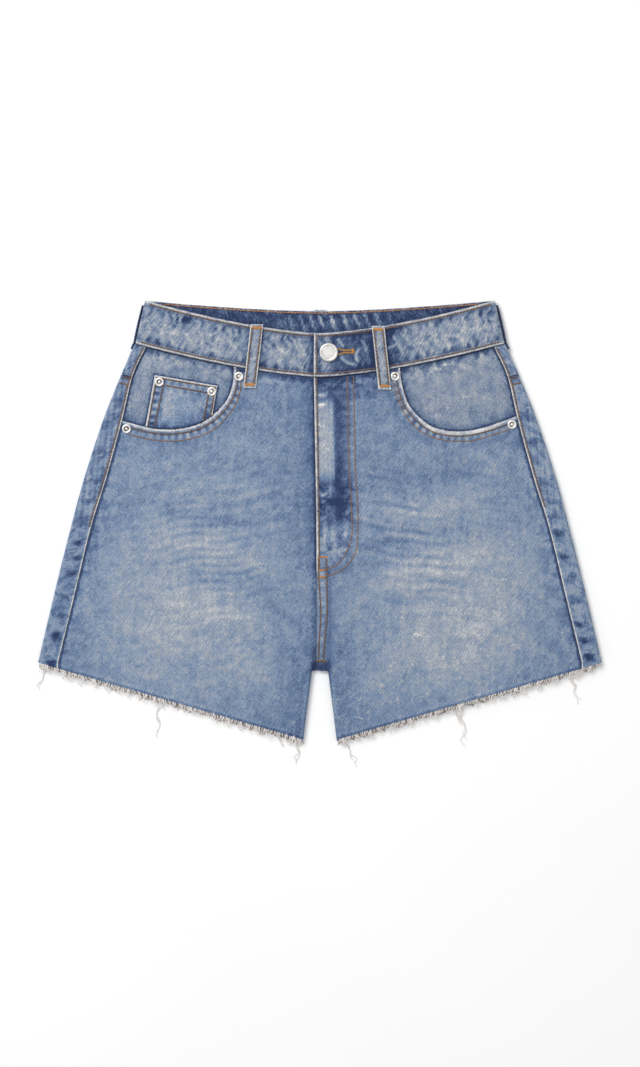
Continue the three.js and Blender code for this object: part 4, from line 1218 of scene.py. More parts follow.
def back_grid(side, levels, trim_top):
    """Points of a back piece, from the side seam on the front round the fold and across the table."""
    level = levels[:, None]
    fold_x, fold_y = fold_at(level)
    start_x, _ = start_at(BACK_START, level)
    trim_here = trim_top * np.clip(1 - (level - levels[0]) / 0.01, 0, 1)
    radius = (front_height(side * fold_x, fold_y, side) - back_height(fold_x, fold_y)) / 2
    turn_x = fold_x - radius
    half = mix(seam_at(level) + SEAM / 2, turn_x, STRIP_STEPS)
    y = level_y(FRONT_START, level, half) - trim_here
    strip = np.stack([side * half, y, front_height(side * half, y, side)], axis=2)
    angle = np.linspace(0, math.pi, 13)[1:-1]
    around_z = back_height(fold_x, fold_y) + radius * (1 + np.cos(angle))
    around_x = side * (turn_x + radius * np.sin(angle))
    around = np.stack([around_x, np.broadcast_to(fold_y - trim_here, around_x.shape), around_z], axis=2)
    offset, drop = inner_columns(level)
    offset, drop = offset[:, ::-1], drop[:, ::-1]
    across = mix(turn_x, start_x + offset[:, :1], np.linspace(0, 1, 84))
    half = np.concatenate([across, start_x + offset[:, 1:]], axis=1)
    y = level_y(BACK_START, level, half) - trim_here
    drop = np.concatenate([np.zeros_like(across), drop[:, 1:]], axis=1)
    z = mix(back_height(half, y), LEG_MIDDLE - SEAM / 2, drop)
    under = np.stack([side * half, y, z], axis=2)
    part = np.concatenate([np.zeros(strip.shape[1]), np.full(around.shape[1], 1), np.full(under.shape[1], 2)])
    return np.concatenate([strip, around, under], axis=1), part, drop


def make_back(name, side, levels, trim_top):
    """A yoke or a lower back, with the strip that comes round the side fold to the side seam."""
    grid, part, drop = back_grid(side, levels, trim_top)
    x, y = grid[..., 0], grid[..., 1]
    half = np.abs(x)
    strip, under = part == 0, part == 2
    from_seam = np.where(strip, (half - column_at(SIDE, SIDE_SEAM, y)) * SEAM_LEAN, 30)
    run_down = -y
    wander = from_seam + 1.5 * np.sin(run_down / 13 + side)
    blobs = bump(wander, 7.5, 4.6) * smooth(puckers(run_down, 18.5, 1.1 * side), 0.05, 0.65)
    bars = puckers(run_down, 7.2, 2.4 * side) * bump(from_seam, 4, 3)
    fading = puckers(half - 0.1 * run_down, 5.5, 1.9 * side)
    relief = 0.3 * bump(from_seam, 1.8, 1.5) + 0.14 * bars - 0.16 * blobs + 0.1 * uneven(x, y, 3 * side, 9)
    hollow = sum(fold_shape(fold, x, y) for fold in BACK_FOLDS)
    full_drop = np.zeros_like(x)
    full_drop[:, len(part) - drop.shape[1]:] = drop
    off_table = (hollow + 0.05 * (1 + uneven(x, y, 2.6 * side, 9))) * (1 - full_drop)
    lift = np.where(under, np.maximum(off_table, 0), relief * strip)
    outer = grid.copy()
    outer[..., 2] += np.where(part == 1, 0, lift)
    run = run_of(outer)
    top_line = level_y(BACK_START, levels[0], half) - trim_top
    from_top = top_line - y
    seat = 0.5 + 0.17 * wear_in("seat", x, y) + 0.2 * hollow
    edge_bars = puckers(x, 7, 0.6 * side) * bump(from_top, 5, 4)
    centre_bars = puckers(y, 8, 1.9 * side) * bump(half, 5, 4)
    upper = smooth(y, -30, 40)
    on_strip = 0.52 + 0.03 * side - (0.6 - 0.42 * upper) * blobs + 0.07 * bars + 0.1 * fading * upper
    seat = seat + 0.045 * whiskers(x, y, 0.1 * side, 2.2 + side)
    wash_and_shade = np.where(under, seat + 0.1 * edge_bars + 0.1 * centre_bars, on_strip)
    wash_and_shade = wash_and_shade - 0.1 * bump(from_top, 0, 4)
    from_centre = half * 0.8 if side > 0 else NO_SEAM
    traits = {
        "wash_and_shade": (wash_and_shade, wash_and_shade + 0.2),
        "mottle": np.where(under, 0.12, 0.24),
        "crackle": np.where(under, 0.12, 0.2),
        "ridge": np.where(under, np.minimum(from_top + 0.2, from_centre), from_seam * 1.3),
        # Painted shade line along the yoke seam on the side strip
        "painted_shade_line": np.where(under, NO_SEAM, np.abs(from_top) if trim_top else NO_SEAM),
        "cloth": cloth_place(side * (run - run[:, -1:]), y, 0),
    }
    sheets[name] = sheet_mesh(name, outer, CLOTH, traits, UP, DENIM)


def make_yoke(name, side):
    make_back(name, side, YOKE_LEVELS, 0)


def make_lower_back(name, side):
    make_back(name, side, BACK_LOWER_LEVELS, SEAM)


make_both_sides({"yoke": make_yoke, "back": make_lower_back})


# The waistband and the loops

# Pale crinkles across the waistband's front
BAND_STREAKS = (
    ((-93, 188), (-78, 171), (-75, 167)),
    ((-42, 183), (-39, 173), (-29, 164)),
    ((-140, 181), (-133, 174), (-125, 171)),
    ((-117, 187), (-100, 183), (-88, 177)),
    ((-158, 199), (-148, 189), (-143, 180)),
    ((-108, 167), (-97, 169), (-84, 160)),
    ((86, 188), (98, 184), (119, 183), (138, 180)),
    ((61, 170), (70, 175), (74, 180)),
    ((15, 182), (23, 171)),
    ((38, 173), (33, 165), (36, 157)),
    ((133, 191), (144, 188), (152, 191)),
    ((92, 172), (100, 163), (110, 164)),
    ((134, 178), (142, 186), (147, 194)),
    ((-150, 184), (-139, 186), (-128, 183)),
    ((-72, 182), (-68, 174), (-70, 166)),
    ((-47, 171), (-41, 163), (-36, 156)),
    ((-24, 176), (-19, 168), (-20, 158)),
    ((72, 187), (80, 181), (84, 172)),
    ((84, 180), (93, 176), (103, 177)),
    ((110, 188), (116, 178), (121, 170)),
    ((126, 186), (131, 179), (139, 176)),
    ((148, 203), (151, 196), (155, 186)),
    ((36, 181), (41, 175), (43, 166)),
    ((104, 176), (113, 172), (124, 174)),
    ((-130, 192), (-121, 180), (-114, 170)),
    ((-101, 193), (-96, 184), (-97, 174)),
    ((-152, 194), (-141, 192), (-131, 187)),
    ((-26, 181), (-17, 173), (-12, 162)),
    ((-50, 181), (-52, 171), (-47, 162)),
    ((66, 185), (74, 172), (78, 163)),
    ((94, 192), (104, 184), (109, 174)),
    ((121, 196), (133, 186), (137, 174)),
    ((146, 199), (138, 192), (128, 190)),
    ((18, 165), (25, 158), (35, 156)),
)


# Rows of dark spots between the crinkles: how far down, breadth, shift along, seed and how dark
BAND_DOTS = (
    (8.5, 4.0, 0, 1.6, 0.46),
    (17, 3.0, 4.8, 2.3, 0.34),
    (25, 2.8, 1.2, 3.1, 0.22),
    (33.5, 3.2, 6.2, 0.4, 0.38),
)


def band_streaks(x, y):
    """1 on the crinkles, and 0 a little beside them."""
    total = np.zeros_like(x)
    for knots in BAND_STREAKS:
        line = curve(knots, 10)
        distance, run, _, _ = nearest(x, y, line)
        length = np.hypot(*np.diff(line, axis=0).T).sum()
        ends = between(run, 0, 4, length - 4, length)
        total = np.maximum(total, bump(distance, 0, 1.3) * ends)
    return total


def make_waistband():
    """One strip, two plies, from the underlap round the back to the flap's buttoned end."""
    near_edge = np.array([0, 0.012, 0.03, 0.055])
    share = np.concatenate([near_edge, np.linspace(0.09, 0.91, 30), 1 - near_edge[::-1]])[::-1]
    under = LOOP + SEAM
    radius = (SIDE_FOLD_LIE["height"] - under) / 2
    half = FRONT_BOTTOM["half"]
    reach = half - radius

    def columns(x, front, flap):
        top, bottom = (FRONT_TOP, FRONT_BOTTOM) if front else (BACK_TOP, BACK_BOTTOM)
        narrower = top["half"] / bottom["half"]
        across = x * mix(1, narrower, share[:, None])
        y = mix(edge_y(bottom, x), edge_y(top, x * narrower), share[:, None])
        z = band_height(across, flap) if front else back_height(across, y)
        return np.stack([across, y, z], axis=2)

    def fold(side, angles):
        x = side * (reach + radius * np.sin(angles))
        front, back = columns(x, True, False), columns(x, False, False)
        y = mix(front[..., 1], back[..., 1], angles / math.pi)
        z = np.broadcast_to(under + radius * (1 + np.cos(angles)), y.shape)
        return np.stack([front[..., 0], y, z], axis=2)

    turns = np.linspace(0, math.pi, 15)[1:-1]
    ends = np.array([0, 0.6, 1.4, 2.4])
    right = np.concatenate([UNDERLAP_END_X - ends, np.linspace(UNDERLAP_END_X - 4, -reach, 150)])
    left = np.concatenate([np.linspace(reach, FLAP_END_X + 4, 134), FLAP_END_X + ends[::-1]])
    across_back = np.linspace(-reach, reach, 168)
    parts = (
        columns(right, True, False),
        fold(-1, turns),
        columns(across_back, False, False),
        fold(1, turns[::-1]),
        columns(left, True, True),
    )
    outer = np.concatenate(parts, axis=1)
    part = np.concatenate([np.full(piece.shape[1], k) for k, piece in enumerate(parts)])
    x, y = outer[..., 0], outer[..., 1]
    on_front, on_back = (part == 0) | (part == 4), part == 2
    from_top = np.broadcast_to((1 - share[:, None]) * BAND_BREADTH, x.shape)
    from_bottom = np.broadcast_to(share[:, None] * BAND_BREADTH, x.shape)
    from_end = np.where(part == 4, np.abs(x - FLAP_END_X), 60)
    run = np.broadcast_to(UNDERLAP_END_X - run_of(outer)[len(outer) // 2], x.shape)
    edge = np.minimum(np.minimum(from_top, from_bottom), from_end)
    bars = puckers(run, 9.2, 0.7) * bump(from_top, 8, 5) + puckers(run, 10.4, 2.9) * bump(from_bottom, 8, 5)
    pale = band_streaks(x, y) * on_front
    relief = 0.3 * bump(edge, 2.0, 1.6) - 0.2 * bump(edge, 4.6, 1.6)
    relief = relief + 0.2 * bars + 0.2 * uneven(run, y, 1.9, 9) + 0.22 * pale
    outer[..., 2] += np.where(on_front, relief, np.where(on_back, 0.06 * (1 + uneven(run, y, 1.9, 9)), 0))
    flap_dark = between(x, 4, 16, 66, 84) * (part == 4)
    slanted_run = run + 0.35 * from_top
    wander = 2.6 * uneven(run, y, 5.2, 12)
    dots = sum(
        amount * smooth(puckers(run + shift + wander, 9.6, seed), -0.3, 0.6) * bump(from_top, down, breadth)
        for down, breadth, shift, seed, amount in BAND_DOTS
    ) * (0.75 + 0.45 * uneven(run, y, 2.7, 17))
    # In the tone, the dip inside the rows along the band's edges is painted shade
    wash_and_shade = 0.62 - 0.05 * bars + 0.03 * uneven(run, y, 3.3, 11) - 0.2 * bump(edge, 4.9, 1.2) - 0.38 * flap_dark
    wash_and_shade = wash_and_shade + (0.14 + 0.4 * flap_dark) * pale - dots * (1 - 0.5 * flap_dark)
    # Painted shadows of the front loops on the band, on both sides of each
    for side, (head, foot) in FRONT_LOOPS.items():
        from_loop = np.abs(x - mix(foot[0], head[0], (y - foot[1]) / (head[1] - foot[1]))) - LOOP_WIDTH / 2
        wash_and_shade = wash_and_shade - (0.2 * bump(from_loop, 0, 4) + 0.03 * bump(from_loop, 0, 18)) * on_front
    # Painted shadow beside the flap's end, and painted shade in the buttonhole's slit
    wash_and_shade = wash_and_shade - 0.16 * bump(x, FLAP_END_X - 3, 5) * (part == 0)
    slit = nearest(x, y, np.array([(BUTTON["x"] + 4, BUTTON["y"] + 0.3), (22, BUTTON["y"] + 0.6)]))[0]
    beside_flap = np.where(part == 0, np.abs(x - FLAP_END_X + 0.6) * 0.7, NO_SEAM)
    shade = np.minimum(np.where(part == 4, slit * 1.2, NO_SEAM), beside_flap)
    inner_bars = smooth(puckers(slanted_run, 11, 2.2), 0.3, 1) * between(from_top, 3, 5, 11, 22)
    inner_wash = 0.14 + 0.58 * inner_bars + 0.06 * uneven(run, y, 0.6, 10)
    inner_wash = inner_wash - 0.06 * smooth(np.abs(x), 110, 150)
    traits = {
        "wash_and_shade": (wash_and_shade, inner_wash + 0.08 * bump(from_top, 0, 2)),
        "mottle": (0.15, 0.2),
        "crackle": (0.12, 0.2),
        "ridge": (edge * 1.2, from_top + 1.0),
        "painted_shade_line": (shade, NO_SEAM),
        "cloth": cloth_place(run, y, 0),
    }
    sheets["waistband_cloth"] = sheet_mesh("waistband_cloth", outer, BAND, traits, UP, BAND_DENIM)


LOOP_ACROSS = np.concatenate([[-6, -5.6, -5], np.linspace(-4.2, 4.2, 9), [5, 5.6, 6]])


def loop_traits(across, along, length, run, seed):
    """Wash of a belt loop: its folded edges are worn nearly white, with painted shade in the hollow inside
    each row.
    """
    edge = LOOP_WIDTH / 2 - np.abs(across)
    from_end = np.minimum(along, length - along)
    bars = puckers(run, 6.4, seed) * bump(edge, 3.4, 2.4)
    wash_and_shade = 0.66 + 0.05 * bars - 0.14 * bump(edge, 3.2, 1.0) - 0.12 * bump(from_end, 6.5, 2)
    wash_and_shade = wash_and_shade + 0.03 * uneven(across, run, seed, 9)
    relief = 0.22 * bump(edge, 1.3, 1.1) + 0.16 * bump(edge, LOOP_WIDTH / 2, 2.4)
    relief = relief - 0.3 * bump(from_end, 4, 1.6) + 0.06 * bars
    return relief, {
        "wash_and_shade": wash_and_shade,
        "mottle": 0.08,
        "crackle": 0.08,
        "ridge": np.minimum(edge, from_end + 0.4) * 1.75,
        "painted_shade_line": NO_SEAM,
    }


def under_front_loop(x, y, side):
    """The height of what a front loop lies on: the waistband, and the front below it."""
    front = front_height(x, y, side)
    on_band = y > edge_y(FRONT_BOTTOM, x) - LOOP_STIFFNESS
    return np.where(on_band, np.maximum(band_height(x, side > 0), front), front)


def make_front_loop(name, side):
    """It lies over the waistband and is sewn down above and below it."""
    (top_x, top_y), (foot_x, foot_y) = FRONT_LOOPS[side]
    share = np.concatenate([[0, 0.008, 0.02], np.linspace(0.04, 0.96, 44), [0.98, 0.992, 1]])[:, None]
    across = LOOP_ACROSS[None, :]
    middle_x, y = mix(top_x, foot_x, share), mix(top_y, foot_y, share)
    steps = (-LOOP_STIFFNESS, 0, LOOP_STIFFNESS)
    under = np.max([under_front_loop(middle_x, y + step, side) for step in steps], axis=0)
    bow = LOOP_BOW * np.sin(math.pi * share)
    across, y, along = np.broadcast_arrays(across, y, share * (top_y - foot_y))
    x = middle_x + across
    relief, traits = loop_traits(across, along, top_y - foot_y, y, 1.3 * side)
    z = under + bow + SEAM + LOOP + FRONT_LOOP_STAND_OFF + relief
    traits["cloth"] = cloth_place(x, y, 0.9 * side)
    sheets[name] = sheet_mesh(name, np.stack([x, y, z], axis=2), LOOP, traits, UP, BAND_DENIM)


def make_back_loop():
    """It lies on the table, outside the back of the waistband."""
    length = BACK_LOOP["top"] - BACK_LOOP["bottom"]
    share = np.linspace(0, 1, 48)[:, None]
    x, along = np.broadcast_arrays(LOOP_ACROSS[None, :], share * length)
    y = BACK_LOOP["top"] - along
    relief, traits = loop_traits(x, along, length, y, 4.4)
    traits["cloth"] = cloth_place(-x, y, 1.2)
    outer = np.stack([x, y, 0.1 * (relief.max() - relief)], axis=2)
    sheets["belt_loop_back_cloth"] = sheet_mesh("belt_loop_back_cloth", outer, LOOP, traits, DOWN, BAND_DENIM)


def make_side_loop(name, side):
    """It stands against the waistband's fold and turns under it."""
    face = SIDE_LOOP["stand_off"] + LOOP
    bend, height, tuck = SIDE_LOOP["bend"], SIDE_LOOP["height"], SIDE_LOOP["under"]
    turn = np.linspace(0, math.pi / 2, 7)
    tucked = np.linspace(face - bend, face - tuck, 6)[1:]
    out = np.concatenate([[face] * 3, face - bend * (1 - np.cos(turn)), tucked])
    upright = [height, height - 0.6, mix(height, bend, 0.6)]
    z = np.concatenate([upright, bend * (1 - np.sin(turn)), np.zeros_like(tucked)])
    y = np.linspace(SIDE_LOOP["top"], SIDE_LOOP["bottom"], 40)[:, None]
    share = (y - BAND_SIDE_Y) / (FRONT_TOP["side"] - BAND_SIDE_Y)
    on_band = mix(FRONT_BOTTOM["half"], FRONT_TOP["half"], share)
    fold = np.where(share > 0, on_band, column_at(SIDE, FOLD, y))
    length = SIDE_LOOP["top"] - SIDE_LOOP["bottom"]
    bow = LOOP_BOW * np.sin(math.pi * (y - SIDE_LOOP["bottom"]) / length)
    x = side * (fold + out + bow)
    run = np.concatenate([[0], np.cumsum(np.hypot(np.diff(out), np.diff(z)))])
    run, y, z = np.broadcast_arrays(run, y, z)
    across = run * LOOP_WIDTH / run[0, -1] - LOOP_WIDTH / 2
    _, traits = loop_traits(across, SIDE_LOOP["top"] - y, length, y, 2.7 * side)
    in_shade = 1 - smooth(across, -4.5, 0)
    traits["wash_and_shade"] = traits["wash_and_shade"] - 0.62 * in_shade
    traits["ridge"] = traits["ridge"] + NO_SEAM * in_shade
    traits["cloth"] = cloth_place(run, y, 1.5 * side)
    sheets[name] = sheet_mesh(name, np.stack([x, y, z], axis=2), LOOP, traits, (side, 0, 0), BAND_DENIM)


def pocket_place(side, u, v):
    """A point of a back pocket from its own width and height."""
    angle = side * math.radians(BACK_POCKET["turn"])
    x = side * BACK_POCKET["x"] + u * math.cos(angle) - v * math.sin(angle)
    return x, BACK_POCKET["y"] + u * math.sin(angle) + v * math.cos(angle)


def make_back_pocket(name, side):
    """A pointed patch pocket on the underside."""
    s = np.concatenate([[-1, -0.985, -0.96], np.linspace(-0.93, 0.93, 60), [0.96, 0.985, 1]])[None, :]
    r = np.concatenate([[0, 0.008, 0.02], np.linspace(0.04, 0.96, 60), [0.98, 0.992, 1]])[:, None]
    u = s * mix(BACK_POCKET["top"], BACK_POCKET["bottom"], r)
    foot = -BACK_POCKET["down"] - BACK_POCKET["point"] * (1 - np.abs(s))
    v = mix(BACK_POCKET["up"], foot, r)
    x, y = pocket_place(side, u, v)
    edge, run, _, _ = nearest(u, v, pocket_outline(0))
    bars = puckers(run, 6.8, 1.4 * side) * bump(edge, 5, 3)
    hem_bars = puckers(u, 7.6, 0.8 * side) * bump(BACK_POCKET["up"] - v, 7, 4)
    wash_and_shade = 0.5 + 0.13 * wear_in("back pocket", u, v) - 0.12 * bump(edge, 10, 2.5)
    wash_and_shade = wash_and_shade + 0.12 * bars + 0.12 * hem_bars
    hollow = sum(fold_shape(fold, u, v) for fold in POCKET_FOLDS)
    traits = {
        "wash_and_shade": (wash_and_shade + 0.2 * hollow, wash_and_shade),
        "mottle": 0.2,
        "crackle": 0.08,
        "ridge": edge,
        "painted_shade_line": NO_SEAM,
        "cloth": cloth_place(-u, v, 2.1 * side),
    }
    z = 0.4 * hollow + 0.05 * (1 + uneven(x, y, 2.0, 8))
    sheets[name] = sheet_mesh(name, np.stack([x, y, z], axis=2), CLOTH, traits, DOWN, DENIM)


def pocket_outline(inset):
    """A back pocket's edge in its own width and height, moved in by an inset, from the top round and back."""
    top, bottom, up = BACK_POCKET["top"] - inset, BACK_POCKET["bottom"] - inset, BACK_POCKET["up"] - inset
    foot, point = inset - BACK_POCKET["down"], inset - BACK_POCKET["down"] - BACK_POCKET["point"]
    return np.array([(-top, up), (-bottom, foot), (0, point), (bottom, foot), (top, up), (-top, up)], float)


make_waistband()
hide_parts("waistband")
make_back_loop()
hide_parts("belt_loop_back")
make_both_sides({
    "belt_loop_front": make_front_loop,
    "belt_loop_side": make_side_loop,
    "back_pocket": make_back_pocket,
})


# Topstitching

STITCH = {"pitch": 3.1, "length": 2.9, "radius": 0.66, "slant": 0.18}
FINE_RADIUS = 0.46
BAR_TACK = {"pitch": 0.75, "breadth": 2.4, "radius": 0.42}
STANDS_OFF = 0.12
PRESSED_IN = -0.6
surfaces = {}


def surface_under(names, points, below):
    """Heights in millimetres of the named pieces at points of the plan, seen from above or from below."""
    heights = np.full(len(points), np.nan)
    for name in names:
        if name not in surfaces:
            mesh = sheets[name].data
            vertices = [vertex.co.copy() for vertex in mesh.vertices]
            surfaces[name] = BVHTree.FromPolygons(vertices, [list(face.vertices) for face in mesh.polygons])
        from_z, way = (-0.05, Vector(UP)) if below else (0.05, Vector(DOWN))
        for k, (x, y) in enumerate(points):
            found = surfaces[name].ray_cast(Vector((x * MM, y * MM, from_z)), way)[0]
            if found is None:
                continue
            z = found.z / MM
            if np.isnan(heights[k]) or (z < heights[k] if below else z > heights[k]):
                heights[k] = z
    return heights


def lay(names, starts, ends, below=False):
    """Stitches between starts and ends of the plan, put on the surface of the named pieces."""
    up = -1 if below else 1
    first, last = surface_under(names, starts, below), surface_under(names, ends, below)
    found = ~(np.isnan(first) | np.isnan(last))
    a = np.concatenate([starts, first[:, None]], axis=1)[found]
    b = np.concatenate([ends, last[:, None]], axis=1)[found]
    return np.stack([a, b], axis=1), np.full(len(a), up)


def row_of_stitches(names, line, below=False):
    """A row of topstitching along a line, on the named pieces."""
    points, way = spaced(line, STITCH["pitch"])
    slanted = way + STITCH["slant"] * np.stack([-way[:, 1], way[:, 0]], axis=1)
    reach = slanted * STITCH["length"] / 2
    return lay(names, points - reach, points + reach, below)


def bar_of_stitches(names, a, b, breadth=BAR_TACK["breadth"], below=False):
    """A bar tack: short stitches laid side by side across a line from a to b."""
    points, way = spaced([a, b], BAR_TACK["pitch"])
    across = np.stack([-way[:, 1], way[:, 0]], axis=1) * breadth / 2
    return lay(names, points - across, points + across, below)


def sew(name, groups, radius, material):
    """One mesh of stitches, each a short thread that comes out of the cloth and goes back into it.

    On the underside the garment's weight presses them into the cloth.
    """
    lines = np.concatenate([stitches for stitches, _ in groups])
    ups = np.concatenate([ups for _, ups in groups])[:, None]
    stands_off = np.where(ups > 0, STANDS_OFF, PRESSED_IN)
    up = ups * np.array([[0, 0, 1.0]])
    way = lines[:, 1] - lines[:, 0]
    way /= np.linalg.norm(way, axis=1, keepdims=True)
    aside = np.cross(way, up)
    aside /= np.linalg.norm(aside, axis=1, keepdims=True)
    rise = np.cross(aside, way)
    rings = ((0, -0.5, 0.75), (0.18, 0.35, 1.0), (0.82, 0.35, 1.0), (1, -0.5, 0.75))
    turns = np.arange(5) * 2 * math.pi / 5
    points = []
    for share, lift, size in rings:
        middle = mix(lines[:, 0], lines[:, 1], share) + rise * (lift * radius + stands_off)
        for turn in turns:
            points.append(middle + radius * size * (aside * math.cos(turn) + rise * math.sin(turn)))
    points = np.stack(points, axis=1)
    pattern = []
    for ring in range(3):
        for k in range(5):
            a, b = 5 * ring + k, 5 * ring + (k + 1) % 5
            pattern.append([a, b, b + 5, a + 5])
    caps = [[4, 3, 2, 1, 0], [15, 16, 17, 18, 19]]
    faces = []
    for k in range(len(points)):
        faces.extend([[20 * k + corner for corner in face] for face in pattern + caps])
    return put_in_scene(name, points.reshape(-1, 3), faces, material)


def seam_line(y_values, side, out):
    """Points along a side seam, a little outside it on the back's strip."""
    return [(side * (float(column_at(SIDE, SIDE_SEAM, y)) + out), y) for y in y_values]


def band_line(edge, inset, x_values):
    """Points along an edge of the waistband, moved in from it."""
    return [(x, float(edge_y(edge, x)) + inset) for x in x_values]


def beside_mouth(side, distance, first=0.0, last=1.0):
    """Points beside a pocket's mouth, outside it."""
    line = curve(MOUTH_KNOTS[side], 80)
    way = np.gradient(line, axis=0)
    way /= np.linalg.norm(way, axis=1, keepdims=True)
    out = np.stack([way[:, 1], -way[:, 0]], axis=1) * side
    moved = line + out * distance
    return moved[int(first * 80):int(last * 80) + 1]


LAP_ROW = [(float(column_at(CENTRE_FRONT, 1, y)) + 2.8, y) for y in np.linspace(144, -34, 30)]
CROTCH_ROWS = (
    curve(((-1.6, -23), (-0.9, -44), (0.55, -73.4), (-0.9, -102), (-1.6, -116))),
    curve(((5.8, -23), (6.2, -44), (6.5, -73.4), (4.1, -102), (3.3, -116))),
)
MOUTH_OUTER_ROWS = {
    -1: curve((
        (-73.2, 140.1), (-74.2, 130.1), (-78.7, 118.1), (-88.7, 105.2), (-98.8, 95.9),
        (-114.8, 89), (-128.9, 86), (-142.9, 85.6), (-159.9, 87.5), (-177, 92),
    )),
    1: curve((
        (67.5, 140.1), (70.6, 129.1), (77.6, 112.1), (87.6, 99.1), (99.6, 91),
        (111.6, 87), (125.7, 85.6), (140.8, 86), (155.8, 90), (175.8, 96.6),
    )),
}
SIDE_ROW_END = {-1: 6.2, 1: 23.8}


def tan_rows():
    """Rows in the thick tan thread: round the waistband, down the seams, and on the pockets and loops."""
    band, inset = ["waistband_cloth"], 2.9
    along_top, along_bottom = np.linspace(-158, 158, 160), np.linspace(-166, 166, 160)
    rows = [
        row_of_stitches(["front_left_cloth"], LAP_ROW),
        row_of_stitches(band, band_line(FRONT_TOP, -inset, along_top)),
        row_of_stitches(band, band_line(FRONT_BOTTOM, inset, along_bottom)),
        row_of_stitches(band, [(-3.1, 148), (-3.1, 183)]),
        row_of_stitches(band, band_line(BACK_TOP, -inset, along_top), below=True),
        row_of_stitches(band, band_line(BACK_BOTTOM, inset, along_bottom), below=True),
    ]
    both_fronts = ["front_left_cloth", "front_right_cloth"]
    for line in CROTCH_ROWS:
        rows.append(row_of_stitches(both_fronts, line))
    rows.append(bar_of_stitches(both_fronts, (-4, -118.2), (6, -118.2), 2.2))
    for side_name, side in SIDES.items():
        front, strip = [f"front_{side_name}_cloth"], [f"yoke_{side_name}_cloth", f"back_{side_name}_cloth"]
        rows.append(row_of_stitches(front, beside_mouth(side, 4.2, 0.06, 0.98)))
        rows.append(row_of_stitches(strip, seam_line(np.linspace(172, SIDE_ROW_END[side], 40), side, 2.4)))
        rows.extend(back_rows(side_name, side))
        (top_x, top_y), (foot_x, foot_y) = FRONT_LOOPS[side]
        for offset in (-4, 4):
            line = [(top_x + offset, top_y - 3), (foot_x + offset, foot_y + 3)]
            rows.append(row_of_stitches([f"belt_loop_front_{side_name}_cloth"], line))
    for inset in (2, 8):
        rows.append(row_of_stitches(["coin_pocket_cloth"], coin_row(inset)))
    return rows


def fine_rows():
    """Single rows in the thinner thread: round the pockets' outside and down the fly."""
    rows = [row_of_stitches(["front_left_cloth"], line) for line in FLY_ROWS]
    for side_name, side in SIDES.items():
        rows.append(row_of_stitches([f"front_{side_name}_cloth"], MOUTH_OUTER_ROWS[side]))
    return rows


def coin_row(inset):
    """A row round the coin pocket's sides and top, moved in from its edge."""
    (left, top_left), (right, top_right) = COIN_TOP
    outer_foot, inner_foot = COIN_SIDES[0][1], COIN_SIDES[1][1]
    slope = (top_right - top_left) / (right - left)
    upper = (left + inset, top_left - inset + slope * inset)
    end = (right - inset, top_right - inset - slope * inset)
    foot = (outer_foot[0] + inset, outer_foot[1])
    last = (inner_foot[0] - inset, inner_foot[1])
    return [foot, upper, end, last]


def back_rows(side_name, side):
    """The rows that lie on the table side: yoke, centre back and back pockets."""
    rows = []
    yoke, back, pocket = ([f"{kind}_{side_name}_cloth"] for kind in ("yoke", "back", "back_pocket"))
    for inset in (2, 8):
        half = np.linspace(3, 178, 90)
        y = level_y(BACK_START, YOKE_LEVEL, half) - SEAM - inset
        rows.append(row_of_stitches(back, np.stack([side * half, y], axis=1), below=True))
        half = np.linspace(174, 186, 8)
        y = level_y(FRONT_START, YOKE_LEVEL, half) - SEAM - inset
        rows.append(row_of_stitches(back, np.stack([side * half, y], axis=1)))
        if side > 0:
            rows.append(row_of_stitches(back, [(inset, 100), (inset, -108)], below=True))
            rows.append(row_of_stitches(yoke, [(inset, 162), (inset, 106)], below=True))
        corners = [pocket_place(side, u, v) for u, v in pocket_outline(inset)]
        rows.append(row_of_stitches(pocket, corners[:5], below=True))
    for inset in (2.5, 13):
        width = BACK_POCKET["top"] - inset * 0.1 - 9
        ends = [pocket_place(side, u, BACK_POCKET["up"] - inset) for u in (-width, width)]
        rows.append(row_of_stitches(pocket, ends, below=True))
    return rows


def orange_rows():
    """Bar tacks where a seam or a loop takes the strain, and the row inside the waistband's top edge."""
    front = ["front_left_cloth"]
    rows = [
        bar_of_stitches(front, (-2.2, -21.7), (6.6, -21.7), 1.5),
        bar_of_stitches(front, (-1.6, -33.8), (4.2, -33.8), 1.5),
        bar_of_stitches(front, (-1.6, -40.4), (4.2, -40.4), 1.5),
        bar_of_stitches(["waistband_cloth"], (30.6, 166.4), (30.6, 171)),
    ]
    inner_line = band_line(BACK_TOP, -2.1, np.linspace(-145, 145, 150))
    rows.append(row_of_stitches(["waistband_cloth"], inner_line))
    for side_name, side in SIDES.items():
        (top_x, top_y), (foot_x, foot_y) = FRONT_LOOPS[side]
        loop = [f"belt_loop_front_{side_name}_cloth"]
        for x, y in ((top_x, top_y - 3.4), (foot_x, foot_y + 3.4)):
            rows.append(bar_of_stitches(loop, (x - 4.6, y), (x + 4.6, y)))
        corner = pocket_place(side, BACK_POCKET["top"] - 5, BACK_POCKET["up"] - 4)
        other = pocket_place(side, 5 - BACK_POCKET["top"], BACK_POCKET["up"] - 4)
        for x, y in (corner, other):
            pocket = [f"back_pocket_{side_name}_cloth"]
            rows.append(bar_of_stitches(pocket, (x - 3.5, y), (x + 3.5, y), below=True))
    for y in (BACK_LOOP["top"] - 4, BACK_LOOP["bottom"] + 4):
        rows.append(bar_of_stitches(["belt_loop_back_cloth"], (-4.6, y), (4.6, y), below=True))
    return rows


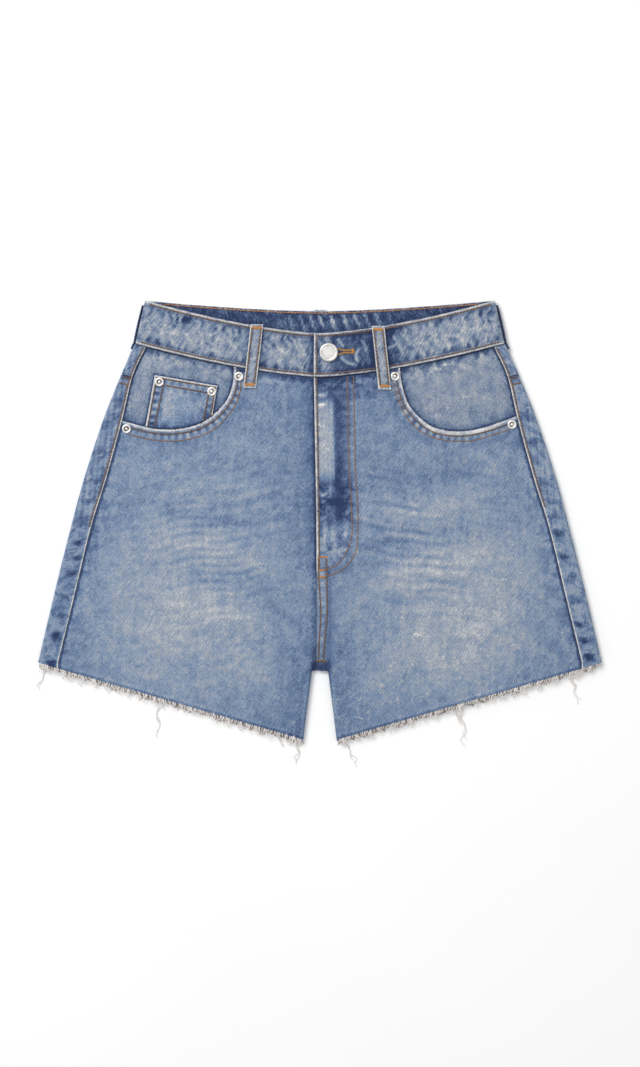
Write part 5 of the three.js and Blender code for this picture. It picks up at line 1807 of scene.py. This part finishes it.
def buttonhole_stitches():
    """Satin stitches side by side along both lips of the slit."""
    x = np.arange(BUTTON["x"] + 8, 31.2, 0.55)
    slit_y = BUTTON["y"] + 0.3 + 0.03 * (x - BUTTON["x"])
    opening = mix(0.25, 1.7, 1 - smooth(x, BUTTON["x"] + 8, 23))
    groups = []
    for lip in (-1, 1):
        starts = np.stack([x, slit_y + lip * opening], axis=1)
        ends = np.stack([x, slit_y + lip * (opening + 1.8)], axis=1)
        groups.append(lay(["waistband_cloth"], starts, ends))
    return groups


tan_stitches = sew("tan_topstitching", tan_rows(), STITCH["radius"], TAN_THREAD)
fine_stitches = sew("fine_topstitching", fine_rows(), FINE_RADIUS, FINE_THREAD)
orange_stitches = sew("bar_tacks", orange_rows(), BAR_TACK["radius"], ORANGE_THREAD)
buttonhole = sew("buttonhole_stitches", buttonhole_stitches(), 0.34, BUTTONHOLE_THREAD)


# Frayed hems

chance = np.random.default_rng(5)


def tubes(name, paths, radii, material, sides=4):
    """One mesh of threads, each a thin tube along its own path."""
    turns = np.arange(sides) * 2 * math.pi / sides
    points, faces = [], []
    for path, radius in zip(paths, radii):
        path = np.asarray(path, float)
        radius = np.broadcast_to(radius, len(path))
        way = np.gradient(path, axis=0)
        way /= np.maximum(np.linalg.norm(way, axis=1, keepdims=True), 1e-9)
        aside = np.cross(way, UP)
        aside /= np.maximum(np.linalg.norm(aside, axis=1, keepdims=True), 1e-9)
        rise = np.cross(aside, way)
        base = len(points)
        for middle, r, a, b in zip(path, radius, aside, rise):
            points.extend(middle + r * (a * math.cos(turn) + b * math.sin(turn)) for turn in turns)
        for ring in range(len(path) - 1):
            for k in range(sides):
                one, two = base + sides * ring + k, base + sides * ring + (k + 1) % sides
                faces.append([one, two, two + sides, one + sides])
        faces.append([base + k for k in reversed(range(sides))])
        last = base + sides * (len(path) - 1)
        faces.append([last + k for k in range(sides)])
    return put_in_scene(name, np.array(points), faces, material)


def hem_point(side, half, on_front, down=0.0):
    """A point in the middle of the cloth on a cut hem, at a half width."""
    starts = FRONT_START if on_front else BACK_START
    x = side * half
    y = float(level_y(starts, 1.0, half)) - down
    z = float(front_height(x, y, side)) - CLOTH / 2 if on_front else float(back_height(half, y)) + CLOTH / 2
    return np.array([x, y, z])


def curly_thread(root, length, lean, curl, drop, steps=8):
    """A short thread that leaves the hem, sways once or twice and sinks towards the table."""
    t = np.linspace(0, 1, steps)
    phase, turns = chance.uniform(0, 6.28), chance.uniform(0.5, 1.5)
    sway = curl * length * t * np.sin(turns * 6.28 * t + phase)
    x = root[0] + lean * t + sway
    y = root[1] + 0.6 - (length + 0.6) * t + 0.3 * curl * length * np.sin(turns * 4.5 * t + phase)
    z = np.maximum(root[2] - drop * t ** 1.5, 0.4)
    return np.stack([x, y, z], axis=1)


def make_fray(name, side, on_front):
    """The hem's bared threads: a ragged fringe of short ones, with bare places, curls and tufts.

    The front's are bright and stand apart. Those of the back, in the front's shade, are dense and grey.
    """
    first = 15.5 + 1.2
    last = float(fold_at(1.0)[0]) - 1.0
    paths, radii = [], []

    def hang(place, length, lean, curl, radius):
        if first < place < last:
            root = hem_point(side, place, on_front)
            root[2] += chance.uniform(-0.35, 0.45)
            paths.append(curly_thread(root, length, lean, curl, 0.3 * length))
            radii.append(np.linspace(radius, 0.7 * radius, 8))

    half = first
    while half < last:
        patch = 0.5 + 0.5 * math.sin(half / 7.3 + 2 * side) * math.sin(half / 3.1 + on_front)
        if on_front:
            length = 1.2 + 3.2 * patch * chance.uniform(0.4, 1) + 4 * chance.uniform() ** 4
            half += chance.uniform(0.7, 2.8 - 1.3 * patch)
        else:
            length = 1.4 + 4.2 * patch * chance.uniform(0.55, 1)
            half += chance.uniform(0.35, 0.6)
        hang(half, length, chance.normal(0, 0.45) * length, chance.uniform(0.1, 0.4), 0.4)
    half = first + chance.uniform(3, 10)
    while half < last and on_front:
        gather = chance.uniform(-1.5, 1.5)
        for _ in range(int(chance.integers(2, 6))):
            length = chance.uniform(3.5, 8.5)
            start = chance.normal(0, 2.2)
            lean = gather - 0.7 * start + chance.normal(0, 0.6)
            hang(half + start, length, lean, chance.uniform(0.15, 0.5), 0.44)
        half += chance.uniform(7, 19)
    return tubes(name, paths, radii, BARE_COTTON if on_front else SHADED_COTTON)


def make_loose_threads(name, side, on_front):
    """Long threads that came loose: two kinked plies round each other, which part at the end."""
    paths, radii = [], []
    floor = 0.75
    for x, length, lean, from_front in LONG_THREADS:
        if (x > 0) != (side > 0) or from_front != on_front:
            continue
        root = hem_point(side, abs(x), on_front, 0.3)
        kinks = chance.uniform(-0.09, 0.09, 5) * length
        steps = np.linspace(0, 1, 7)
        heights = np.maximum(mix(root[2], floor, 3 * steps), floor)
        sideways = np.concatenate([[0], kinks, [0]])
        down = np.stack([root[0] + lean * steps + sideways, root[1] - length * steps, heights], axis=1)
        plan = curve(down, 40)
        t = np.linspace(0, 1, len(plan))
        knot = chance.uniform(0.35, 0.7)
        for ply in range(2):
            phase = ply * math.pi + x
            path = plan.copy()
            path[:, 0] += (0.3 + 1.1 * smooth(t, 0.55, 1.0)) * np.sin(t * 11 + phase)
            path[:, 1] = mix(root[1], path[:, 1], 1 - 0.16 * ply)
            path[:, 2] = np.maximum(path[:, 2] + 0.3 * np.cos(t * 11 + phase), 0.5)
            paths.append(path)
            radii.append(0.44 - 0.14 * t + 0.35 * bump(t, knot, 0.04))
        for start in chance.uniform(-4.5, 4.5, 3):
            reach = mix(0.15, 0.4, chance.uniform())
            end = plan[int(reach * 40)]
            begin = hem_point(side, abs(root[0] + start), on_front)
            middle = (begin + end) / 2 + np.array([-0.1 * start, 0.1 * abs(start), 0.2])
            paths.append(curve((begin, middle, end), 10))
            radii.append(0.3)
    return tubes(name, paths, radii, BARE_COTTON) if paths else None


frays = {}
for side_name, side_sign in SIDES.items():
    for layer in ("front", "back"):
        hem = f"frayed_hem_{layer}_{side_name}"
        frays[hem] = [make_fray(hem + "_fringe", side_sign, layer == "front")]
        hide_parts(hem)
        loose = make_loose_threads(hem + "_loose_threads", side_sign, layer == "front")
        if loose is not None:
            frays[hem].append(loose)


# Metal

def turned(name, profile, place, material, grooves, around=72):
    """A round piece from its profile of radius and height.

    Painted shade lies in its grooves, which are given as radius and breadth.
    """
    turns = np.arange(around) * 2 * math.pi / around
    points = [
        (place[0] + r * math.cos(turn), place[1] + r * math.sin(turn), place[2] + z)
        for r, z in profile
        for turn in turns
    ]
    faces = []
    for ring in range(len(profile) - 1):
        for k in range(around):
            a, b = around * ring + k, around * ring + (k + 1) % around
            faces.append([a, b, b + around, a + around])
    faces.append([k for k in reversed(range(around))])
    faces.append([around * (len(profile) - 1) + k for k in range(around)])
    radii = np.repeat(np.array([r for r, _ in profile]), around)
    painted_groove_shade = sum(bump(radii, radius, breadth) for radius, breadth in grooves)
    return put_in_scene(name, np.array(points), faces, material, {"painted_groove_shade": painted_groove_shade})


def rounded(profile, steps=8):
    """A profile with its corners eased."""
    return curve(profile, steps * (len(profile) - 1))


def make_button():
    """A shank button: a narrow raised rim round a nearly flat face, on a shank from the underlap."""
    seat = FLAP_LIE["height"] - UNDERLAP_LIE["height"]
    radius, top = BUTTON["radius"], seat + BUTTON["height"]
    shank = [(BUTTON["shank"], 0), (BUTTON["shank"], seat)]
    wall = rounded((
        (radius - 1.2, seat), (radius - 0.1, seat + 0.7),
        (radius - 0.1, top - 0.7), (radius - 0.9, top - 0.02),
    ))
    rim = rounded((
        (radius - 1.3, top), (radius - 1.8, top - 0.05),
        (radius - 2.3, top - 0.16), (radius - 3.4, top - 0.14),
    ))
    face = rounded(((radius - 5.5, top - 0.12), (1.5, top - 0.1), (0.05, top - 0.1)), 4)
    place = (BUTTON["x"], BUTTON["y"], UNDERLAP_LIE["height"] + SEAM)
    # Radius and breadth of the painted shade in the groove inside the rim
    painted_shade_line = (radius - 2.3, 0.12)
    return turned("button_metal", np.concatenate([shank, wall, rim, face]), place, SILVER_METAL, (painted_shade_line,))


button = make_button()
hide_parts("button")

RIVET_PROFILE = (
    (4.2, 0), (4.2, 0.45), (3.9, 0.85), (3.4, 1.02), (2.9, 1.0), (2.5, 0.8),
    (2.1, 0.4), (1.5, 0.45), (1.1, 1.1), (0.6, 1.42), (0.05, 1.5),
)
# Radius and breadth of the painted shade in the rivet's groove
RIVET_GROOVE = (1.9, 0.65)
for number, (rivet_x, rivet_y) in enumerate(RIVETS, start=1):
    low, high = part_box(f"rivet_{number}")
    rivet = turned(
        f"rivet_{number}_metal", rounded(RIVET_PROFILE, 4), (rivet_x, rivet_y, low.z / MM), SILVER_METAL,
        (RIVET_GROOVE,), 48,
    )
    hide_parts(f"rivet_{number}")


# Camera, light and table, in metres

CAMERA_HEIGHT = 3.0
SENSOR_WIDTH = 36  # millimetres
PICTURE_HEIGHT = 0.987  # of the garment's face that the picture's longer side takes in
LIGHT_PLACE = (-1.1, 1.3, 1.7)
TABLE_REACH = 3.0
TABLE_Z = -0.0003


def camera_and_light():
    """The camera looks straight down. A broad lamp from the upper left and a white sky light the cloth."""
    camera = bpy.data.objects.new("camera", bpy.data.cameras.new("camera"))
    camera.data.sensor_width = SENSOR_WIDTH
    camera.data.lens = SENSOR_WIDTH * (CAMERA_HEIGHT - LIE * MM) / PICTURE_HEIGHT
    camera.location = (0, 0, CAMERA_HEIGHT)
    bpy.context.scene.collection.objects.link(camera)
    bpy.context.scene.camera = camera
    light = bpy.data.lights.new("key", "AREA")
    light.shape = "DISK"
    light.size = 1.2
    light.energy = 34
    key = bpy.data.objects.new("key", light)
    key.location = LIGHT_PLACE
    key.rotation_euler = Vector(LIGHT_PLACE).to_track_quat("Z", "Y").to_euler()
    bpy.context.scene.collection.objects.link(key)
    world = bpy.data.worlds.new("studio")
    bpy.context.scene.world = world
    world.use_nodes = True
    world.node_tree.nodes["Background"].inputs["Color"].default_value = (1, 1, 1, 1)
    world.node_tree.nodes["Background"].inputs["Strength"].default_value = 0.7
    bpy.context.scene.view_settings.view_transform = "Standard"


def make_table():
    """A table top of matt white laminate, pressed smooth: pale, with hardly a gleam."""
    material, tree = new_material("matt_white_laminate")
    place = add_node(tree, "TexCoord").outputs["Object"]
    clouds = add_node(tree, "TexNoise", {"Vector": place, "Scale": 3.0, "Detail": 2})
    pale = add_node(tree, "ValToRGB", {"Fac": clouds.outputs["Fac"]}, ((0.3, "#fcfcfc"), (0.7, "#fefefe")))
    shader = add_node(tree, "BsdfPrincipled", {
        "Base Color": pale.outputs["Color"],
        "Roughness": 0.9,
        "Specular IOR Level": 0.1,
    })
    add_node(tree, "OutputMaterial", {"Surface": shader.outputs["BSDF"]})
    mesh = bpy.data.meshes.new("table")
    corners = [(x * TABLE_REACH, y * TABLE_REACH, TABLE_Z) for x, y in ((-1, -1), (1, -1), (1, 1), (-1, 1))]
    mesh.from_pydata(corners, [], [(0, 1, 2, 3)])
    mesh.materials.append(material)
    table = bpy.data.objects.new("table", mesh)
    bpy.context.scene.collection.objects.link(table)


make_table()
camera_and_light()
